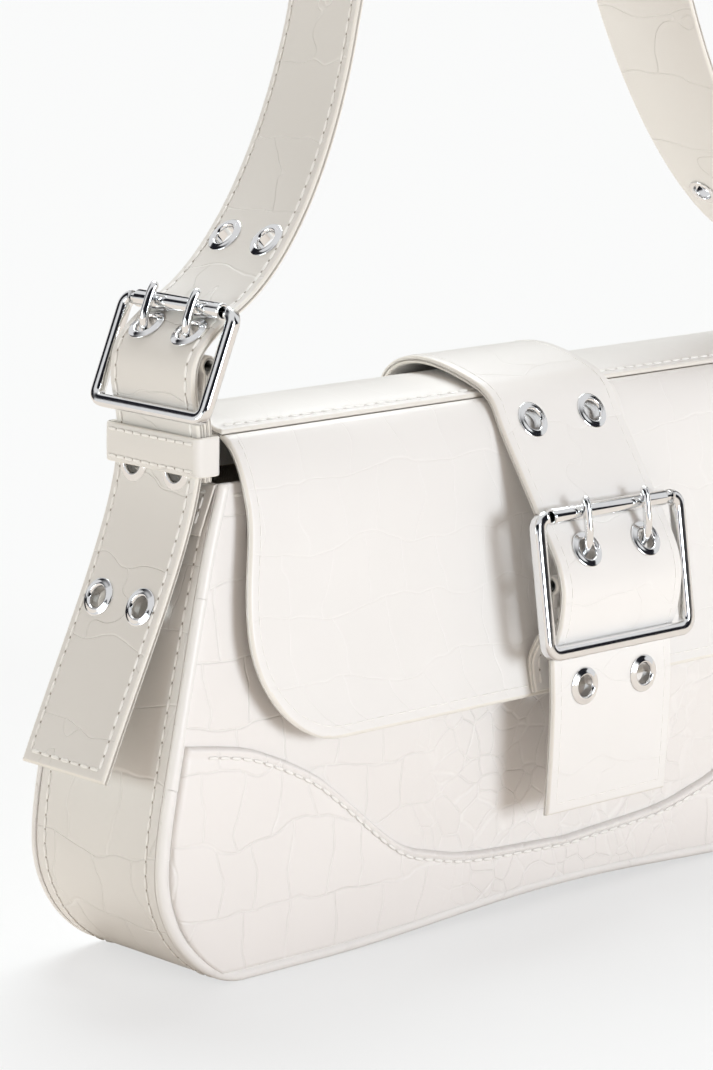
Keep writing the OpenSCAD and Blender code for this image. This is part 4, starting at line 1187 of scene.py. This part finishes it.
tab_low = FLAP_LOW_Z + 1.4
belt_leg = [(-PIN_D / 2 - 0.6, PIN_BACK + 0.5), (-5, PIN_BACK + 1.2), (-9.5, PIN_BACK + 2.3),
            to_belt((off_flap(tab_low + 10) - 1.2, tab_low + 10)),
            to_belt((off_flap(tab_low + 5), tab_low + 5)), to_belt((off_flap(tab_low), tab_low))]
tab, tab_rows = tab_shape(belt_leg, BELT_W)
tab_made = piece("belt_tab_skin", moved(tab, belt_axes3, belt_place), [belt_leather, edge_paint],
                 "flap", ["belt_tab"])
cut_slots(tab_made, BELT_EYE_X, belt_axes3, belt_place)
piece("belt_tab_stitches", moved(tab_rows, belt_axes3, belt_place), [thread, needle_hole_shade], "flap")

# The carry strap: one long strap of the same build, its ends threaded through the side buckles and
# hanging as tails. It leans back as it rises and turns a little about its own line.
CROWN_Z, LOOP_X, LOOP_Z = BAG_H + 223.3, 52.0, BAG_H + 164.3
SIDE_W, SIDE_H, SIDE_BAR_D, SIDE_LEAN, SIDE_EYE_Y = 43.9, 30.3, 3.2, math.radians(22.4), 8.0
SIDE_X, SIDE_Z = top_x + 3.6, BAG_H + 30
TAIL_X, TAIL_Z = top_x + 36.7, BAG_H - 70.1
FIRST_EYE, STRAP_PITCH = 44.3, 35.3
KEEPER_Z, KEEPER_H, KEEPER_W, KEEPER_T, SWAY_Z = BAG_H + 2.3, 10.0, 35.4, 1.3, BAG_H + 0.3
LEAN_RATE, LEAN_Z, STRAP_TURN = 0.103, SIDE_Z + 4.3, math.radians(8.7)
side_half = (SIDE_H - SIDE_BAR_D) / 2
side_at = np.array([SIDE_X, SIDE_Z])
side_axes = np.array([[-math.sin(SIDE_LEAN), math.cos(SIDE_LEAN)],
                      [-math.cos(SIDE_LEAN), -math.sin(SIDE_LEAN)]])
side_weave = side_at + weave(side_half, SIDE_BAR_D / 2)[::-1] @ side_axes
keeper_x = SIDE_X + 2.6
keeper_mid = np.array([keeper_x, KEEPER_Z + 3.5])
strap_exit = side_weave[-1]
half_strap = np.vstack([
    bezier((TAIL_X, TAIL_Z), (TAIL_X - 12.6, TAIL_Z + 28.4), keeper_mid + (1.2, -17.5), keeper_mid),
    through(np.vstack([[keeper_mid, keeper_mid + (0, 6.5)], side_weave]), first=1),
    bezier(strap_exit, strap_exit + (-32, 12.5), (LOOP_X, LOOP_Z - 50), (LOOP_X, LOOP_Z), n=120,
           first=1),
    bezier((LOOP_X, LOOP_Z), (LOOP_X, LOOP_Z + 0.55 * (CROWN_Z - LOOP_Z)),
           (0.56 * LOOP_X, CROWN_Z), (0, CROWN_Z), first=1)])
half_mid = shifted(half_strap, STRAP_T / 2)
strap_mid = np.vstack([half_mid, (half_mid[:-1] * (-1, 1))[::-1]])
strap_run = run_of(strap_mid)
strap_len = strap_run[-1]
strap_in = left_of(strap_mid)


def lean_y(z):
    return LEAN_RATE * np.maximum(z - LEAN_Z, 0)


def strap_face(u, v):
    """The strap's outer face: u across it and v along its middle line from the right tail's end.
    The cross section turns by up to STRAP_TURN over 70 mm of height and leans back with it."""
    p = at_run(strap_mid, strap_run, v)
    inward = np.stack([np.interp(v, strap_run, strap_in[:, k]) for k in (0, 1)], -1)
    inward /= np.linalg.norm(inward, axis=-1, keepdims=True)
    a = STRAP_TURN * np.clip((p[..., 1] - SIDE_Z - 9.3) / 70, 0, 1)
    out = STRAP_T / 2
    slide = u * np.sin(a) - out * np.cos(a)
    return np.stack([p[..., 0] + slide * inward[..., 0],
                     lean_y(p[..., 1]) + u * np.cos(a) + out * np.sin(a),
                     p[..., 1] + slide * inward[..., 1]], -1)


strap_eyes = []
for mirror in (False, True):
    for k in range(4):
        for side in (-1, 1):
            s = FIRST_EYE + k * STRAP_PITCH
            u, v = np.array(side * SIDE_EYE_Y), np.array(strap_len - s if mirror else s)
            n, spot = normals_of(strap_face, u, v), strap_face(u, v)
            n = n * (1 if n @ (spot * (1, 1, 0)) > 0 else -1)
            strap_eyes.append((spot - n * STRAP_T / 2, n))

test_n = normals_of(strap_face, np.array(0.0), np.array(30.0))
strap_out = 1 if test_n[0] > 0 else -1
strap_skin = piece("carry_strap_skin",
                   plate(strap_face, spaced(-STRAP_W / 2, STRAP_W / 2, 2.0, STRAP_EDGE),
                         spaced(0, strap_len, 1.7, STRAP_EDGE), STRAP_T, STRAP_EDGE,
                         out=strap_out),
                   [strap_leather, edge_paint], "carry_strap", ["carry_strap"])
drill(strap_skin, strap_eyes)
edge_u = STRAP_W / 2 - STITCH_INSET + 0.4
quarters = np.linspace(3, strap_len - 3, 5)
strap_rows = [[(s * edge_u, a), (s * edge_u, b)] for s in (-1, 1)
              for a, b in zip(quarters, quarters[1:])]
strap_rows += [[(-edge_u, e), (edge_u, e)] for e in (3, strap_len - 3)]
strap_thread = [stitch_row(strap_face, row, out=strap_out) for row in strap_rows]
piece("carry_strap_stitches", joined(strap_thread), [thread, needle_hole_shade], "carry_strap")
piece("strap_eyelets_plated", joined([placed(eyelet, *eye) for eye in strap_eyes]), [chrome],
      "carry_strap", ["strap_eyelets"])

# At each end: a buckle on a tab that is folded round its middle bar, and a keeper, a closed loop
# with two rows of stitches that holds the strap against the tab.
c, s = math.cos(SIDE_LEAN), math.sin(SIDE_LEAN)
side_axes3 = [(0, 1, 0), (-c, 0, -s), (-s, 0, c)]
side_place = (SIDE_X, 0, SIDE_Z)
leg_x = keeper_x - STRAP_T - TAB_T - FIT


def to_side(p):
    return (np.array(p, float) - side_at) @ side_axes.T


side_leg = [(-PIN_D / 2 - 0.6, PIN_BACK + 0.4), to_side((leg_x + 0.9, SIDE_Z - 8)),
            to_side((leg_x + 0.3, KEEPER_Z + KEEPER_H + 3)),
            to_side((leg_x, KEEPER_Z + KEEPER_H - 1)), to_side((leg_x, SWAY_Z + SWING_GAP))]
keeper_back, keeper_front = leg_x - TAB_T - FIT, keeper_x + 0.6
loop_corners = [(keeper_back - KEEPER_T, -KEEPER_W / 2), (keeper_front + KEEPER_T, -KEEPER_W / 2),
                (keeper_front + KEEPER_T, KEEPER_W / 2), (keeper_back - KEEPER_T, KEEPER_W / 2)]
loop_line = rounded(loop_corners, 1.8, 7)
loop_line = np.vstack([loop_line, loop_line[:1]])
loop_run = run_of(loop_line)
loop_line = at_run(loop_line, loop_run, np.linspace(0, loop_run[-1], 300))
loop_run = run_of(loop_line)


def keeper_face(u, v):
    q = at_run(loop_line, loop_run, np.mod(u, loop_run[-1]))
    swell = 0.5 * np.sin(np.pi * np.clip((v - KEEPER_Z) / KEEPER_H, 0, 1)) * (q[..., 0] > keeper_x)
    return np.stack([q[..., 0] + swell * np.cos(q[..., 1] / 13.0), q[..., 1], v + 0 * u], -1)


keeper_us = np.linspace(0, loop_run[-1], 110)[:-1]
keeper_shape = plate(keeper_face, keeper_us, spaced(KEEPER_Z, KEEPER_Z + KEEPER_H, 1.2, 0.5),
                     KEEPER_T, 0.5, loop=True)
keeper_rows = []
for z in (KEEPER_Z + 1.6, KEEPER_Z + KEEPER_H - 1.6):
    front_u = nearest_run(loop_line, loop_run, np.array([keeper_front + KEEPER_T, 0]))
    keeper_rows.append(stitch_row(keeper_face, [(front_u - 16, z), (front_u + 16, z)], pitch=3.2))
wire, bar, roller, prongs = buckle_pieces(SIDE_W, SIDE_H, SIDE_BAR_D, side_half, SIDE_EYE_Y)
tab, tab_rows = tab_shape(side_leg, STRAP_W)
for mirror, name in ((True, "left"), (False, "right")):
    for part, shape, body in (("buckle_frame", wire, "carry_strap"),
                              ("buckle_bar", bar, "carry_strap"),
                              ("roller", roller, f"{name}_roller"),
                              ("prong_front", prongs[0], f"{name}_prong_front"),
                              ("prong_back", prongs[1], f"{name}_prong_back")):
        piece(f"{name}_{part}_plated", moved(shape, side_axes3, side_place), [chrome], body,
              [f"{name}_{part}"], mirror=mirror)
    made = piece(f"{name}_tab_skin", moved(tab, side_axes3, side_place),
                 [strap_leather, edge_paint], "carry_strap", [f"{name}_tab"],
                 mirror=mirror)
    cut_slots(made, SIDE_EYE_Y, side_axes3, side_place, -1 if mirror else 1)
    piece(f"{name}_tab_stitches", moved(tab_rows, side_axes3, side_place), [thread, needle_hole_shade],
          "carry_strap", mirror=mirror)
    piece(f"{name}_keeper_skin", keeper_shape, [strap_leather, edge_paint], "carry_strap",
          [f"{name}_keeper"], mirror=mirror)
    piece(f"{name}_keeper_stitches", joined(keeper_rows), [thread, needle_hole_shade], "carry_strap",
          mirror=mirror)
